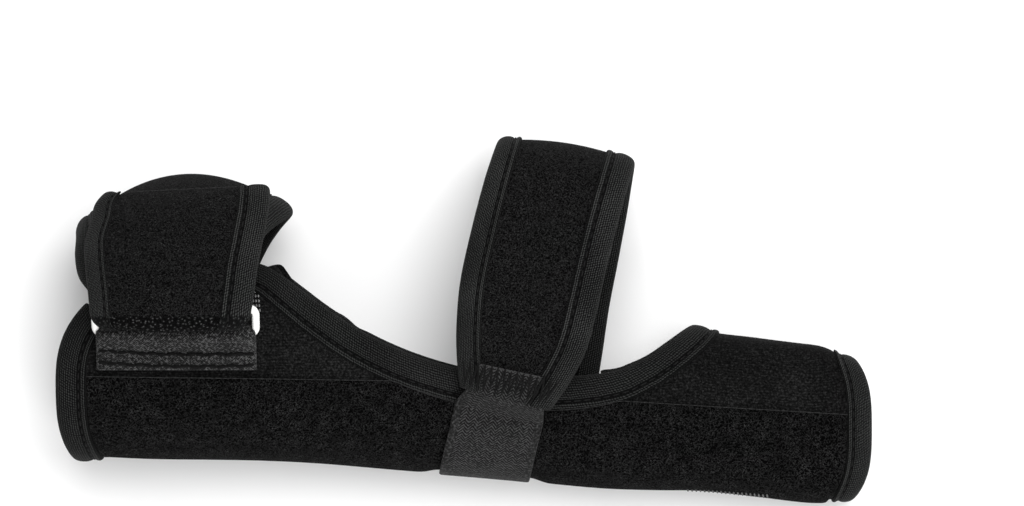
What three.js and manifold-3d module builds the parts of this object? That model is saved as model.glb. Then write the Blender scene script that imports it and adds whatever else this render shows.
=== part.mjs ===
// Boxer fracture splint for a right hand: a padded gutter round the little-finger side of the
// forearm and hand that closes into a sleeve for the ring and little fingers, with bound edges,
// a loop strip for the fasteners, a wrist strap doubled through a ring and a hand strap.
// Millimetres, +Z up. The splint lies palm side down: +X runs to the fingertips, +Y to the
// thumb side and +Z out of the back of the hand. The origin is under the middle of its box.
import * as THREE from "three";
import { mergeVertices } from "three/addons/utils/BufferGeometryUtils.js";
import Module from "manifold-3d";

const wasm = await Module();
wasm.setup();

// Cloth and clearances
const WALL = 3.2; // padded laminate of the gutter
const STRAP_WALL = 2.8; // padded laminate of the straps
const TAPE = 0.7; // one layer of binding tape
const GAP = 0.3; // between pieces that are sewn together
const WEBBING = 1.1; // hook and tab webbing
const LOOP_PILE = 0.9; // loop strip on the gutter
const BINDING_REACH = 7.0; // tape over the cloth, from the edge inwards
const NARROW_REACH = 5.4; // the same at the fingers and on the straps' wrist sides
const BINDING_NOSE = 1.3; // tape past the edge

// Gutter form: the outer surface, a rounded section at each station along the arm.
// ulnar and radial are the section's two sides, height its crown above the flat palm face.
const FORM = [
  { x: -118, ulnar: -34.5, radial: 33, height: 50 },
  { x: -75, ulnar: -34.0, radial: 37, height: 49 },
  { x: -47, ulnar: -34.8, radial: 42, height: 46 },
  { x: -18, ulnar: -37.2, radial: 46, height: 42 },
  { x: 10, ulnar: -39.6, radial: 42, height: 39 },
  { x: 39, ulnar: -42.4, radial: 22, height: 35.5 },
  { x: 55, ulnar: -43.0, radial: 8.5, height: 33 },
  { x: 67, ulnar: -43.2, radial: 2.4, height: 31 },
  { x: 84, ulnar: -45.0, radial: -0.2, height: 28.5 },
  { x: 98, ulnar: -46.7, radial: -2.0, height: 27 },
  { x: 118, ulnar: -46.4, radial: -5.8, height: 25.6 },
];
const CROWN_POWER = 2.3; // roundness of the back of the section
const PALM_POWER = 3.2; // squarer on the palm side
const PALM_PRESS = 0.08; // share of the palm side pressed flat where it lies

// Cut edge of the gutter's opening, the same on the back and the palm side.
const OPENING_EDGE = [
  { x: -112, y: 7.6 },
  { x: -83, y: 15.0 },
  { x: -61, y: 20.6 },
  { x: -55, y: 19.0 },
  { x: -48, y: 13.8 },
  { x: -41, y: 8.3 },
  { x: -30, y: 0.8 },
  { x: -18, y: -5.2 },
  { x: -6, y: -9.4 },
  { x: 6, y: -12.1 },
  { x: 20, y: -12.8 },
  { x: 34, y: -12.2 },
  { x: 44, y: -10.4 },
  { x: 52, y: -7.4 },
  { x: 58, y: -3.8 },
  { x: 64, y: 0.2 },
  { x: 72, y: 6 },
  { x: 84, y: 30 },
];
// The two ends bow out past their corners: x at mid end, bow at the corners.
const FOREARM_END = { x: -114.2, middle: -15, half: 26, bow: 10.5, power: 3 };
const FINGER_END = { x: 115.2, middle: -27.5, half: 21, bow: -6.5, power: 4 };
const EDGE_ROLL = { lift: 1.2, full: 8, run: 6 }; // bound edges roll up off the table

const GIRTH_STEPS = 28;
const STATION_PITCH = 12;

// Loop strip along the little-finger side, by its two long edges in plan and height.
const STRIP_HIGH = [
  { x: -112, y: -10.4 },
  { x: -44, y: -11.3 },
  { x: -4, y: -12.5 },
  { x: 44, y: -17.7 },
  { x: 112, y: -22.4 },
];
const STRIP_LOW = [
  { x: -110, z: 34 },
  { x: -85, z: 27 },
  { x: -60, z: 22 },
  { x: 0, z: 17 },
  { x: 110, z: 12 },
];

// Hand strap, from the palm edge round the thumb web and over the back of the hand.
// half is half its width; turn is the heading of its width across the arm, in degrees.
const HAND_STRAP = [
  { x: 20.5, y: -11.4, z: 2.8, half: 16.8, turn: 0 },
  { x: 21.2, y: -4, z: 2.6, half: 17.2, turn: -2 },
  { x: 22.6, y: 10, z: 2.6, half: 17.8, turn: -5 },
  { x: 25, y: 26, z: 2.6, half: 18.4, turn: -8 },
  { x: 27, y: 38, z: 3.8, half: 18.6, turn: -9 },
  { x: 28.4, y: 47, z: 8.2, half: 18.6, turn: -9 },
  { x: 29, y: 51.6, z: 15.5, half: 18.6, turn: -9 },
  { x: 28.8, y: 51.8, z: 23, half: 18.6, turn: -9 },
  { x: 27.4, y: 47.8, z: 30, half: 18.6, turn: -10 },
  { x: 25, y: 40, z: 35, half: 18.6, turn: -12 },
  { x: 21.4, y: 26, z: 39, half: 18.6, turn: -13 },
  { x: 18.6, y: 12, z: 41.4, half: 18.2, turn: -12 },
  { x: 16.6, y: 0, z: 42.6, half: 17, turn: -11 },
  { x: 14.2, y: -9, z: 43.2, half: 14.9, turn: -12 },
  { x: 11.6, y: -17.3, z: 42.6, half: 11.9, turn: -14.6 },
];
// Hook tab that runs on from the hand strap and holds on the loop strip: plan outline.
const HOOK_TAB = { half: 12.6, x: 11.4, y: -16.5, slant: 0.215, footZ: 9 };

// Wrist strap: from the palm edge round the thumb side to the ring and doubled back over itself.
// crown is how far its middle stands out from its two edges.
const WRIST_STRAP = [
  { x: -82.6, y: 15.7, z: 3.2, half: 22.6, turn: 13.5, crown: 0 },
  { x: -82, y: 21, z: 4.3, half: 24.3, turn: 11, crown: 0.4 },
  { x: -81.2, y: 27, z: 6.8, half: 26.6, turn: 8, crown: 2.6 },
  { x: -80.4, y: 31, z: 11, half: 28.2, turn: 6, crown: 6.6 },
  { x: -80, y: 33, z: 17.5, half: 29, turn: 5, crown: 10.2 },
  { x: -80, y: 33.4, z: 25, half: 29, turn: 4.6, crown: 12 },
  { x: -81.2, y: 32, z: 33, half: 27.8, turn: 4, crown: 10.4 },
  { x: -83, y: 28.8, z: 41, half: 25.6, turn: 3, crown: 7.4 },
  { x: -83.6, y: 23.6, z: 47.2, half: 23.4, turn: 2, crown: 4 },
  { x: -82.6, y: 17.4, z: 52.2, half: 21.2, turn: 1, crown: 1.4 },
  { x: -81.6, y: 12.2, z: 54.3, half: 20, turn: 0, crown: 0.2 },
];
const WRIST_FLAP = [
  { x: -81.4, y: 13, z: 62.6, half: 21.8, turn: 0, crown: 0.4 },
  { x: -81.6, y: 20, z: 60.6, half: 22.9, turn: 0.5, crown: 0.8 },
  { x: -81.2, y: 27.5, z: 56.8, half: 23.8, turn: 1, crown: 1 },
  { x: -79.8, y: 34, z: 52.6, half: 23.2, turn: 2, crown: 0.8 },
  { x: -78.4, y: 38.2, z: 49, half: 22.2, turn: 2.6, crown: 0.5 },
  { x: -77.5, y: 40.9, z: 45.4, half: 21.3, turn: 2.8, crown: 0.2 },
];
const RING = {
  width: 47.4,
  reach: 7.3, // between its two long bars, in plan
  wire: 2.2,
  corner: 2.4,
  x: -81.2,
  upperY: 8.7,
  upperZ: 58.7,
  lowerZ: 52.7,
};
// The strap's turn round the ring's upper bar, which puffs up and out over the tab.
const FOLD = { radius: 4, puff: 2.4, puffAt: 152, half: 19.8 };
const RING_TAB = { half: 20, endHalf: 22.4, x: -81.2, endY: -9 };

// Height of a named column of a table at x, on a smooth curve through its rows.
function along(table, column, x) {
  const last = table.length - 1;
  if (x <= table[0].x) return table[0][column];
  if (x >= table[last].x) return table[last][column];
  const i = table.findIndex((row) => row.x > x) - 1;
  const slope = (k) => {
    const before = table[Math.max(k - 1, 0)];
    const after = table[Math.min(k + 1, last)];
    return (after[column] - before[column]) / (after.x - before.x);
  };
  const [a, b] = [table[i], table[i + 1]];
  const span = b.x - a.x;
  const t = (x - a.x) / span;
  const rest = 1 - t;
  const start = (1 + 2 * t) * rest * rest * a[column] + t * rest * rest * span * slope(i);
  const finish = t * t * (3 - 2 * t) * b[column] - t * t * rest * span * slope(i + 1);
  return start + finish;
}

const smooth = (t) => THREE.MathUtils.smoothstep(t, 0, 1);
const signedPower = (v, power) => Math.sign(v) * Math.abs(v) ** power;
const endX = (end, y) => end.x + end.bow * Math.abs((y - end.middle) / end.half) ** end.power;

// How far a bound edge of the palm side is rolled up at a point in plan.
function edgeRoll(x, y) {
  const inside = Math.min(
    along(OPENING_EDGE, "y", x) - y,
    x - endX(FOREARM_END, y),
    endX(FINGER_END, y) - x,
  );
  return EDGE_ROLL.lift * smooth(1 - (inside - EDGE_ROLL.full) / EDGE_ROLL.run);
}

// A point of the form at x: angle 0 is the thumb side, 90 degrees the back of the hand.
// offset moves it out of the outer surface.
function formPoint(x, angle, offset = 0) {
  const ulnar = along(FORM, "ulnar", x);
  const radial = along(FORM, "radial", x);
  const halfHeight = along(FORM, "height", x) / 2;
  const [c, s] = [Math.cos(angle), Math.sin(angle)];
  const palm = s < 0;
  const power = 2 / (palm ? PALM_POWER : CROWN_POWER);
  const press = palm ? 1 + PALM_PRESS : 1;
  const y = (ulnar + radial) / 2 + ((radial - ulnar) / 2 + offset) * signedPower(c, power);
  const z = halfHeight + (halfHeight + offset) * press * signedPower(s, power);
  return new THREE.Vector3(x, y, palm ? Math.max(z, -offset) + edgeRoll(x, y) * Math.min(1, -3 * s) : z);
}

// Angle of the form's section through a point in plan or in space.
function angleAtPlan(x, y, palm) {
  const ulnar = along(FORM, "ulnar", x);
  const radial = along(FORM, "radial", x);
  const share = (y - (ulnar + radial) / 2) / ((radial - ulnar) / 2);
  const c = signedPower(THREE.MathUtils.clamp(share, -1, 1), (palm ? PALM_POWER : CROWN_POWER) / 2);
  return palm ? 2 * Math.PI - Math.acos(c) : Math.acos(c);
}
function angleAtPoint(point) {
  const ulnar = along(FORM, "ulnar", point.x);
  const radial = along(FORM, "radial", point.x);
  const halfHeight = along(FORM, "height", point.x) / 2;
  const palm = point.z < halfHeight;
  const power = (palm ? PALM_POWER : CROWN_POWER) / 2;
  const across = (point.y - (ulnar + radial) / 2) / ((radial - ulnar) / 2);
  const up = (point.z - halfHeight) / (halfHeight * (palm ? 1 + PALM_PRESS : 1));
  const round = Math.atan2(signedPower(up, power), signedPower(across, power));
  const level = angleAtPlan(point.x, point.y, palm);
  const sideways = smooth((Math.abs(across) - 0.6) / 0.25);
  return level + sideways * ((palm ? round + 2 * Math.PI : round) - level);
}

// A closed mesh from rings of points, each a closed section. The two ends are closed as a
// disc or as a band (a ring that runs out along one face of the cloth and back along the
// other), unless the rings themselves close into a loop.
function loft(rings, ends) {
  const size = rings[0].length;
  const points = rings.flat();
  const index = [];
  const at = (i, j) => (i % rings.length) * size + (j % size);
  const quad = (a, b, c, d) => index.push(a, b, c, a, c, d);
  for (let i = 0; i < rings.length - (ends === "loop" ? 0 : 1); i++) {
    for (let j = 0; j < size; j++) quad(at(i, j), at(i + 1, j), at(i + 1, j + 1), at(i, j + 1));
  }
  const last = rings.length - 1;
  if (ends === "band") {
    for (let j = 0; j < size / 2 - 1; j++) {
      const back = size - 1 - j;
      quad(at(0, j), at(0, j + 1), at(0, back - 1), at(0, back));
      quad(at(last, j), at(last, back), at(last, back - 1), at(last, j + 1));
    }
  }
  if (ends === "disc") {
    [0, last].forEach((i) => {
      const hub = points.length;
      const middle = rings[i].reduce((sum, p) => sum.add(p), new THREE.Vector3());
      points.push(middle.divideScalar(size));
      for (let j = 0; j < size; j++) {
        index.push(hub, ...(i === 0 ? [at(i, j), at(i, j + 1)] : [at(i, j + 1), at(i, j)]));
      }
    });
  }
  const geometry = new THREE.BufferGeometry().setFromPoints(points);
  geometry.setIndex(index);
  return facedOut(geometry);
}

// The same mesh with its faces pointing out, judged by its signed volume.
function facedOut(geometry) {
  const position = geometry.getAttribute("position");
  const index = geometry.index.array;
  const corner = [0, 1, 2].map(() => new THREE.Vector3());
  let volume = 0;
  for (let i = 0; i < index.length; i += 3) {
    corner.forEach((p, k) => p.fromBufferAttribute(position, index[i + k]));
    volume += corner[0].dot(corner[1].clone().cross(corner[2]));
  }
  if (volume < 0) {
    for (let i = 0; i < index.length; i += 3) {
      [index[i + 1], index[i + 2]] = [index[i + 2], index[i + 1]];
    }
  }
  return geometry;
}

// Solids for cutting, and back to a geometry.
function solid(geometry) {
  const bare = new THREE.BufferGeometry().setAttribute("position", geometry.getAttribute("position"));
  if (geometry.index) bare.setIndex(geometry.index);
  const merged = mergeVertices(bare, 1e-4);
  return new wasm.Manifold(
    new wasm.Mesh({
      numProp: 3,
      vertProperties: new Float32Array(merged.getAttribute("position").array),
      triVerts: new Uint32Array(merged.index.array),
    }),
  );
}
function geometryOf(body) {
  const mesh = body.getMesh();
  const geometry = new THREE.BufferGeometry();
  geometry.setAttribute("position", new THREE.BufferAttribute(mesh.vertProperties, mesh.numProp));
  geometry.setIndex(new THREE.BufferAttribute(mesh.triVerts, 1));
  return geometry;
}

// The form as a full solid tube at an offset, on stations that every layer shares.
function formSolid(offset, from, to) {
  const count = Math.round((to - from) / STATION_PITCH);
  const rings = Array.from({ length: count + 1 }, (_, i) => {
    const x = from + ((to - from) * i) / count;
    return Array.from({ length: GIRTH_STEPS }, (_, j) =>
      formPoint(x, ((j + 0.5) * 2 * Math.PI) / GIRTH_STEPS, offset),
    );
  });
  return solid(loft(rings, "disc"));
}
const FORM_SPAN = 120;
const formLayer = (low, high) =>
  formSolid(high, -FORM_SPAN, FORM_SPAN).subtract(
    formSolid(low, -FORM_SPAN, FORM_SPAN).scale([1.01, 1, 1]),
  );

// A prism over a plan outline, or over an outline in X and Z.
const PRISM_DEPTH = 300;
function planPrism(outline) {
  const shape = new THREE.Shape(outline.map(([x, y]) => new THREE.Vector2(x, y)));
  const geometry = new THREE.ExtrudeGeometry(shape, { depth: PRISM_DEPTH, bevelEnabled: false });
  return solid(geometry.translate(0, 0, -PRISM_DEPTH / 2));
}
function sidePrism(outline) {
  const shape = new THREE.Shape(outline.map(([x, z]) => new THREE.Vector2(x, z)));
  const geometry = new THREE.ExtrudeGeometry(shape, { depth: PRISM_DEPTH, bevelEnabled: false });
  return solid(geometry.translate(0, 0, -PRISM_DEPTH / 2).rotateX(Math.PI / 2));
}
const steps = (from, to, count) =>
  Array.from({ length: count + 1 }, (_, i) => from + ((to - from) * i) / count);

// Gutter wall: the form's wall cut to its plan outline.
const FAR = 70; // past any side of the gutter
const CORNER = { x: -104.4, y: 9.6 }; // where the opening's edge meets the forearm end
function shellOutline() {
  const forearm = steps(-FAR, CORNER.y, 24).map((y) => [Math.min(endX(FOREARM_END, y), -60), y]);
  const opening = steps(CORNER.x + 1, 76, 60).map((x) => [x, along(OPENING_EDGE, "y", x)]);
  const finger = steps(18, -FAR, 30).map((y) => [Math.max(endX(FINGER_END, y), 80), y]);
  return [...forearm, ...opening, ...finger];
}
const shell = formLayer(-WALL, 0).intersect(planPrism(shellOutline()));

// The gutter with the sewing clearance all round it, cut out of what is folded or sewn onto it.
function grown(outline, by) {
  return outline.map(([x, y], i) => {
    const [before, after] = [outline.at(i - 1), outline[(i + 1) % outline.length]];
    const run = new THREE.Vector2(after[0] - before[0], after[1] - before[1]).normalize();
    return [x - run.y * by, y + run.x * by];
  });
}
const shellRoom = formLayer(-WALL - GAP, GAP).intersect(planPrism(grown(shellOutline(), GAP)));
function offShell(geometry) {
  const bodies = solid(geometry).subtract(shellRoom).decompose();
  return geometryOf(bodies.reduce((a, b) => (b.volume() > a.volume() ? b : a)));
}

// Loop strip: a thin layer on the gutter between its two long edges, clear of the bindings.
const STRIP_ROOM = BINDING_REACH + 2 * GAP;
function loopStripGeometry() {
  const upper = (x) => {
    return Math.min(along(STRIP_HIGH, "y", x), along(OPENING_EDGE, "y", x) - STRIP_ROOM);
  };
  const start = (y) => endX(FOREARM_END, y) + STRIP_ROOM;
  const end = (y) => endX(FINGER_END, y) - NARROW_REACH - 2 * GAP;
  const [first, last] = [STRIP_HIGH[0].y, STRIP_HIGH.at(-1).y];
  const plan = planPrism([
    ...steps(first, -42, 10).map((y) => [start(y), y]),
    ...steps(-52, last, 10).map((y) => [end(y), y]),
    ...steps(end(last) - 2, start(first) + 2, 40).map((x) => [x, upper(x)]),
  ]);
  const side = sidePrism([
    ...steps(-112, 112, 16).map((x) => [x, along(STRIP_LOW, "z", x)]),
    [112, FAR],
    [-112, FAR],
  ]);
  return geometryOf(formLayer(GAP, GAP + LOOP_PILE).intersect(plan).intersect(side));
}

// Hook tab: webbing that lies on the loop strip and turns round the little-finger side.
function hookTabGeometry() {
  const { half, x, y, slant, footZ } = HOOK_TAB;
  const low = -FAR;
  const shift = (low - y) * slant;
  const plan = planPrism([
    [x - half, y],
    [x - half + shift, low],
    [x + half + shift, low],
    [x + half, y],
  ]);
  const side = sidePrism([
    [-60, footZ],
    [60, footZ],
    [60, FAR],
    [-60, FAR],
  ]);
  const lift = 2 * GAP + LOOP_PILE; // over the loop strip
  return geometryOf(formLayer(lift, lift + WEBBING).intersect(plan).intersect(side));
}

// Edge paths on the gutter, as places (x, angle) on the form.
const place = (x, angle) => ({ x, angle });
function thinned(places, pitch) {
  const kept = [places[0]];
  let travelled = 0;
  places.forEach((p, i) => {
    if (i === 0) return;
    const before = places[i - 1];
    travelled += formPoint(p.x, p.angle).distanceTo(formPoint(before.x, before.angle));
    if (travelled >= pitch) {
      kept.push(p);
      travelled = 0;
    }
  });
  if (kept.at(-1) !== places.at(-1)) kept[kept.length - 1] = places.at(-1);
  return kept;
}

// The opening's edge on one side of the hand, from x to the crotch beside the ring finger.
const CROTCH_FROM = 46;
function openingPlaces(from, palm) {
  const places = steps(from, CROTCH_FROM, 120).map((x) =>
    place(x, angleAtPlan(x, along(OPENING_EDGE, "y", x), palm)),
  );
  const startAngle = places.at(-1).angle;
  const endAngle = palm ? 2 * Math.PI : 0;
  steps(startAngle, endAngle, 60).forEach((angle) => {
    let [low, high] = [CROTCH_FROM, 74];
    for (let i = 0; i < 40; i++) {
      const x = (low + high) / 2;
      if (along(OPENING_EDGE, "y", x) < formPoint(x, angle, -WALL / 2).y) low = x;
      else high = x;
    }
    places.push(place(low, angle));
  });
  return places;
}
function endPlaces(end, fromAngle, toAngle, count) {
  return steps(fromAngle, toAngle, count).map((angle) => {
    let x = end.x;
    for (let i = 0; i < 8; i++) x = endX(end, formPoint(x, angle, -WALL / 2).y);
    return place(x, angle);
  });
}

// Section of a binding tape folded over an edge: q runs out past the edge, n out of the cloth.
// Outside it is a rounded bead; inside it leaves the cloth's own thickness and a clearance.
function tapeOutside(wall, stops) {
  const n = wall / 2 + GAP + TAPE;
  const upper = [...stops.map((q) => ({ q, n })), { q: 0.2, n }, { q: BINDING_NOSE, n: n * 0.45 }];
  return [...upper, ...upper.map((spot) => ({ q: spot.q, n: -spot.n })).reverse()];
}
function tapeInside(wall, stops) {
  const n = wall / 2 + GAP;
  const upper = [...stops.map((q) => ({ q, n })), { q: GAP, n }, { q: GAP, n: n * 0.3 }];
  return [...upper, ...upper.map((spot) => ({ q: spot.q, n: -spot.n })).reverse()];
}

// Binding along an edge of the gutter, draped on the form with the gutter cut out of it.
function gutterBinding(places, outward, reach = BINDING_REACH, looped = false) {
  const section = tapeOutside(WALL, [-reach, -reach / 2]);
  const middle = places.map((p) => formPoint(p.x, p.angle, -WALL / 2));
  const rings = places.map((p, i) => {
    const last = places.length - 1;
    const before = middle[looped ? (i + last) % places.length : Math.max(i - 1, 0)];
    const after = middle[looped ? (i + 1) % places.length : Math.min(i + 1, last)];
    const tangent = after.clone().sub(before).normalize();
    const normal = formPoint(p.x, p.angle, 1).sub(formPoint(p.x, p.angle, 0)).normalize();
    const out = tangent.clone().cross(normal).normalize();
    if (out.dot(outward(p)) < 0) out.negate();
    return section.map(({ q, n }) => {
      const spot = middle[i].clone().addScaledVector(out, q);
      return formPoint(spot.x, angleAtPoint(spot), n - WALL / 2);
    });
  });
  return offShell(loft(rings, looped ? "loop" : "band"));
}

// A strap's stations from a table, closer together than its rows.
function strapStations(rows, pieces) {
  const curve = new THREE.CatmullRomCurve3(
    rows.map((row) => new THREE.Vector3(row.x, row.y, row.z)),
    false,
    "centripetal",
  );
  const track = rows.map((row, i) => ({ crown: 0, ...row, x: i }));
  return steps(0, 1, pieces).map((t) => {
    const k = t * (rows.length - 1);
    return {
      centre: curve.getPoint(t),
      half: along(track, "half", k),
      crown: along(track, "crown", k),
      turn: THREE.MathUtils.degToRad(along(track, "turn", k)),
    };
  });
}

// Frames of a strap: across its width, along its run and out of its outer face.
function strapFrames(stations, firstOut) {
  let previousOut = firstOut;
  return stations.map((s, i) => {
    const before = stations[Math.max(i - 1, 0)].centre;
    const after = stations[Math.min(i + 1, stations.length - 1)].centre;
    const run = after.clone().sub(before).normalize();
    const across = new THREE.Vector3(Math.cos(s.turn), Math.sin(s.turn), 0);
    const out = across.clone().cross(run).normalize();
    if (out.dot(previousOut) < 0) out.negate();
    previousOut = out;
    return { ...s, across, out };
  });
}

// Places across a strap's width: t from edge to edge, h the crown there, and the cloth's normal.
const STRAP_CROSSWISE = 6;
function crosswise(frame) {
  const inner = frame.half - BINDING_REACH;
  const stops = [-frame.half, ...steps(-inner, inner, STRAP_CROSSWISE), frame.half];
  const height = (t) => frame.crown * (1 - (t / frame.half) ** 2);
  const spots = stops.map((t) => ({ t, h: height(t) }));
  const slope = (a, b) => new THREE.Vector2(b.t - a.t, b.h - a.h).normalize();
  return spots.map((spot, k) => {
    const last = spots.length - 1;
    const edge = k <= 1 ? [0, 1] : k >= last - 1 ? [last - 1, last] : [k - 1, k + 1];
    const direction = slope(spots[edge[0]], spots[edge[1]]);
    return { ...spot, direction };
  });
}
function strapPoint(frame, spot, q, n) {
  const t = spot.t + spot.direction.x * q - spot.direction.y * n;
  const h = spot.h + spot.direction.y * q + spot.direction.x * n;
  return frame.centre.clone().addScaledVector(frame.across, t).addScaledVector(frame.out, h);
}
function strapGeometry(frames) {
  return loft(
    frames.map((frame) => {
      const spots = crosswise(frame);
      const outer = spots.map((spot) => strapPoint(frame, spot, 0, STRAP_WALL / 2));
      const inner = spots.map((spot) => strapPoint(frame, spot, 0, -STRAP_WALL / 2));
      return [...outer, ...inner.reverse()];
    }),
    "band",
  );
}
function strapBinding(frames, side) {
  const stops = [side < 0 ? -NARROW_REACH : -BINDING_REACH];
  const room = STRAP_WALL + GAP; // a little more round a cloth that twists
  const section = [...tapeOutside(STRAP_WALL, stops), ...tapeInside(room, stops).reverse()];
  return loft(
    frames.map((frame) => {
      const spots = crosswise(frame);
      const spot = side < 0 ? spots[0] : spots.at(-1);
      return section.map(({ q, n }) => strapPoint(frame, spot, side * q, n));
    }),
    "band",
  );
}

// Hand strap
const handFrames = strapFrames(strapStations(HAND_STRAP, 22), new THREE.Vector3(0, 0, -1));

// Wrist strap: inner run, fold round the ring's upper bar, flap.
function foldStations() {
  const { radius, puff, puffAt, half } = FOLD;
  return steps(250, 110, 6).map((degrees) => {
    const a = THREE.MathUtils.degToRad(degrees);
    const centre = new THREE.Vector3(RING.x, RING.upperY + radius * Math.cos(a), RING.upperZ + radius * Math.sin(a));
    const bulge = Math.max(0, Math.cos(a - THREE.MathUtils.degToRad(puffAt)));
    return { centre, half, crown: puff * bulge ** 4, turn: 0 };
  });
}
const turnedOver = (station) => ({ ...station, crown: -station.crown }); // its outer face is inside
const flapStations = [...foldStations(), ...strapStations(WRIST_FLAP, 7)].map(turnedOver);
const wristFrames = strapFrames(
  [...strapStations(WRIST_STRAP, 16), ...flapStations],
  new THREE.Vector3(0, 0, -1),
);

// Ring: a rounded rectangle of round wire, tilted so that its lower bar lies on the tab.
function ringGeometry() {
  const { width, reach, wire, corner, x, upperY, upperZ, lowerZ } = RING;
  const lean = Math.atan2(upperZ - lowerZ, reach);
  const halfLong = (width - wire) / 2 - corner;
  const halfShort = reach / Math.cos(lean) / 2 - corner;
  const path = [0, 1, 2, 3].flatMap((k) => {
    const middle = [k === 0 || k === 3 ? halfLong : -halfLong, k < 2 ? halfShort : -halfShort];
    return steps(k * 90, k * 90 + 90, 3).map((d) => ({ middle, a: THREE.MathUtils.degToRad(d) }));
  });
  const sides = 8;
  const rings = path.map(({ middle, a }) =>
    steps(0, 360, sides).slice(0, sides).map((d) => {
      const w = THREE.MathUtils.degToRad(d);
      const r = corner + (wire / 2) * Math.cos(w);
      return new THREE.Vector3(
        middle[0] + r * Math.cos(a),
        middle[1] + r * Math.sin(a),
        (wire / 2) * Math.sin(w),
      );
    }),
  );
  const geometry = loft(rings, "loop");
  geometry.rotateX(lean);
  return geometry.translate(x, upperY - reach / 2, (upperZ + lowerZ) / 2);
}

// Ring tab: webbing folded over the ring's lower bar, both ends sewn to the gutter.
function ringTabGeometry() {
  const { half, endHalf, x, endY } = RING_TAB;
  const bar = { y: RING.upperY - RING.reach, z: RING.lowerZ };
  const clear = RING.wire / 2 + GAP + WEBBING / 2 + 0.15;
  const rings = steps(-1, 1, 4).map((share) => {
    const stationAt = (y) => {
      const spread = THREE.MathUtils.clamp((bar.y - 2.4 - y) / (bar.y - 2.4 - endY), 0, 1);
      return x + share * (half + (endHalf - half) * spread);
    };
    const surface = (y) => formPoint(stationAt(y), angleAtPlan(stationAt(y), y, false)).z;
    const low = GAP + WEBBING / 2;
    const high = low + WEBBING + GAP;
    const path = [
      ...steps(endY, bar.y - 5.4, 3).map((y) => new THREE.Vector2(y, surface(y) + low)),
      ...steps(-90, 125, 9).map((d) => {
        const a = THREE.MathUtils.degToRad(d);
        return new THREE.Vector2(bar.y + clear * Math.cos(a), bar.z + clear * Math.sin(a));
      }),
      ...steps(bar.y - 5.4, endY, 3).map((y) => new THREE.Vector2(y, surface(y) + high)),
    ];
    const normals = path.map((p, i) => {
      const run = path[Math.min(i + 1, path.length - 1)].clone().sub(path[Math.max(i - 1, 0)]).normalize();
      return new THREE.Vector2(run.y, -run.x);
    });
    const side = (sign) =>
      path.map((p, i) => p.clone().addScaledVector(normals[i], (sign * WEBBING) / 2));
    return [...side(1), ...side(-1).reverse()].map((p) => new THREE.Vector3(stationAt(p.x), p.x, p.y));
  });
  return loft(rings, "band");
}

// Cloth and hardware finishes
const finish = (color, roughness, metalness = 0) =>
  new THREE.MeshStandardMaterial({ color, roughness, metalness });
const LAMINATE = finish(0x17171a, 0.95);
const LOOP_CLOTH = finish(0x131315, 1.0);
const TAPE_KNIT = finish(0x1e2023, 0.8);
const GREY_WEBBING = finish(0x3a3a3d, 0.85);
const WHITE_PLASTIC = finish(0xf2f2f0, 0.3);

const splint = new THREE.Group();
function piece(name, geometry, material) {
  const mesh = new THREE.Mesh(geometry, material);
  mesh.name = name;
  splint.add(mesh);
}

// Gutter and what is sewn to it
const toFingers = new THREE.Vector3(1, 0, 0);
const toElbow = new THREE.Vector3(-1, 0, 0);
const STRAP_ROOM = BINDING_NOSE + 3 * GAP; // a gutter binding stops this far from a strap's edge
const dorsal = openingPlaces(CORNER.x + BINDING_REACH + 2.6, false);
const palmFromHand = openingPlaces(HAND_STRAP[0].x + HAND_STRAP[0].half + STRAP_ROOM, true);
const openingPath = thinned([...dorsal, ...palmFromHand.reverse().slice(1)], 7.5);
const outOfOpening = ({ x }) => {
  const slope = along(OPENING_EDGE, "y", x + 1) - along(OPENING_EDGE, "y", x);
  return new THREE.Vector3(-slope, 1, 0);
};
const thenarPath = thinned(
  steps(-54.6, HAND_STRAP[0].x - HAND_STRAP[0].half - STRAP_ROOM, 80).map((x) =>
    place(x, angleAtPlan(x, along(OPENING_EDGE, "y", x), true)),
  ),
  6.5,
);
const forearmPath = thinned(
  endPlaces(
    FOREARM_END,
    angleAtPlan(CORNER.x, CORNER.y, false),
    angleAtPlan(CORNER.x, CORNER.y, true),
    160,
  ),
  8,
);
const fingerLoop = thinned(endPlaces(FINGER_END, 0, 2 * Math.PI, 200).slice(0, -1), 7);

piece("shell", geometryOf(shell), LAMINATE);
piece("loop_strip", loopStripGeometry(), LOOP_CLOTH);
piece("opening_binding", gutterBinding(openingPath, outOfOpening), TAPE_KNIT);
piece("thenar_binding", gutterBinding(thenarPath, outOfOpening), TAPE_KNIT);
piece("forearm_binding", gutterBinding(forearmPath, () => toElbow), TAPE_KNIT);
piece("finger_binding", gutterBinding(fingerLoop, () => toFingers, NARROW_REACH, true), TAPE_KNIT);

// Straps
piece("hand_strap", offShell(strapGeometry(handFrames)), LOOP_CLOTH);
piece("hand_strap_wrist_binding", offShell(strapBinding(handFrames, -1)), TAPE_KNIT);
piece("hand_strap_finger_binding", offShell(strapBinding(handFrames, 1)), TAPE_KNIT);
piece("hook_tab", hookTabGeometry(), GREY_WEBBING);
piece("wrist_strap", offShell(strapGeometry(wristFrames)), LOOP_CLOTH);
piece("wrist_strap_forearm_binding", offShell(strapBinding(wristFrames, -1)), TAPE_KNIT);
piece("wrist_strap_hand_binding", offShell(strapBinding(wristFrames, 1)), TAPE_KNIT);
piece("ring", ringGeometry(), WHITE_PLASTIC);
piece("ring_tab", ringTabGeometry(), GREY_WEBBING);

// Stand the splint on z = 0 over the origin.
const box = new THREE.Box3().setFromObject(splint);
const centre = box.getCenter(new THREE.Vector3());
splint.position.set(-centre.x, -centre.y, -box.min.z);

export default splint;
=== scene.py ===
import math

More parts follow.
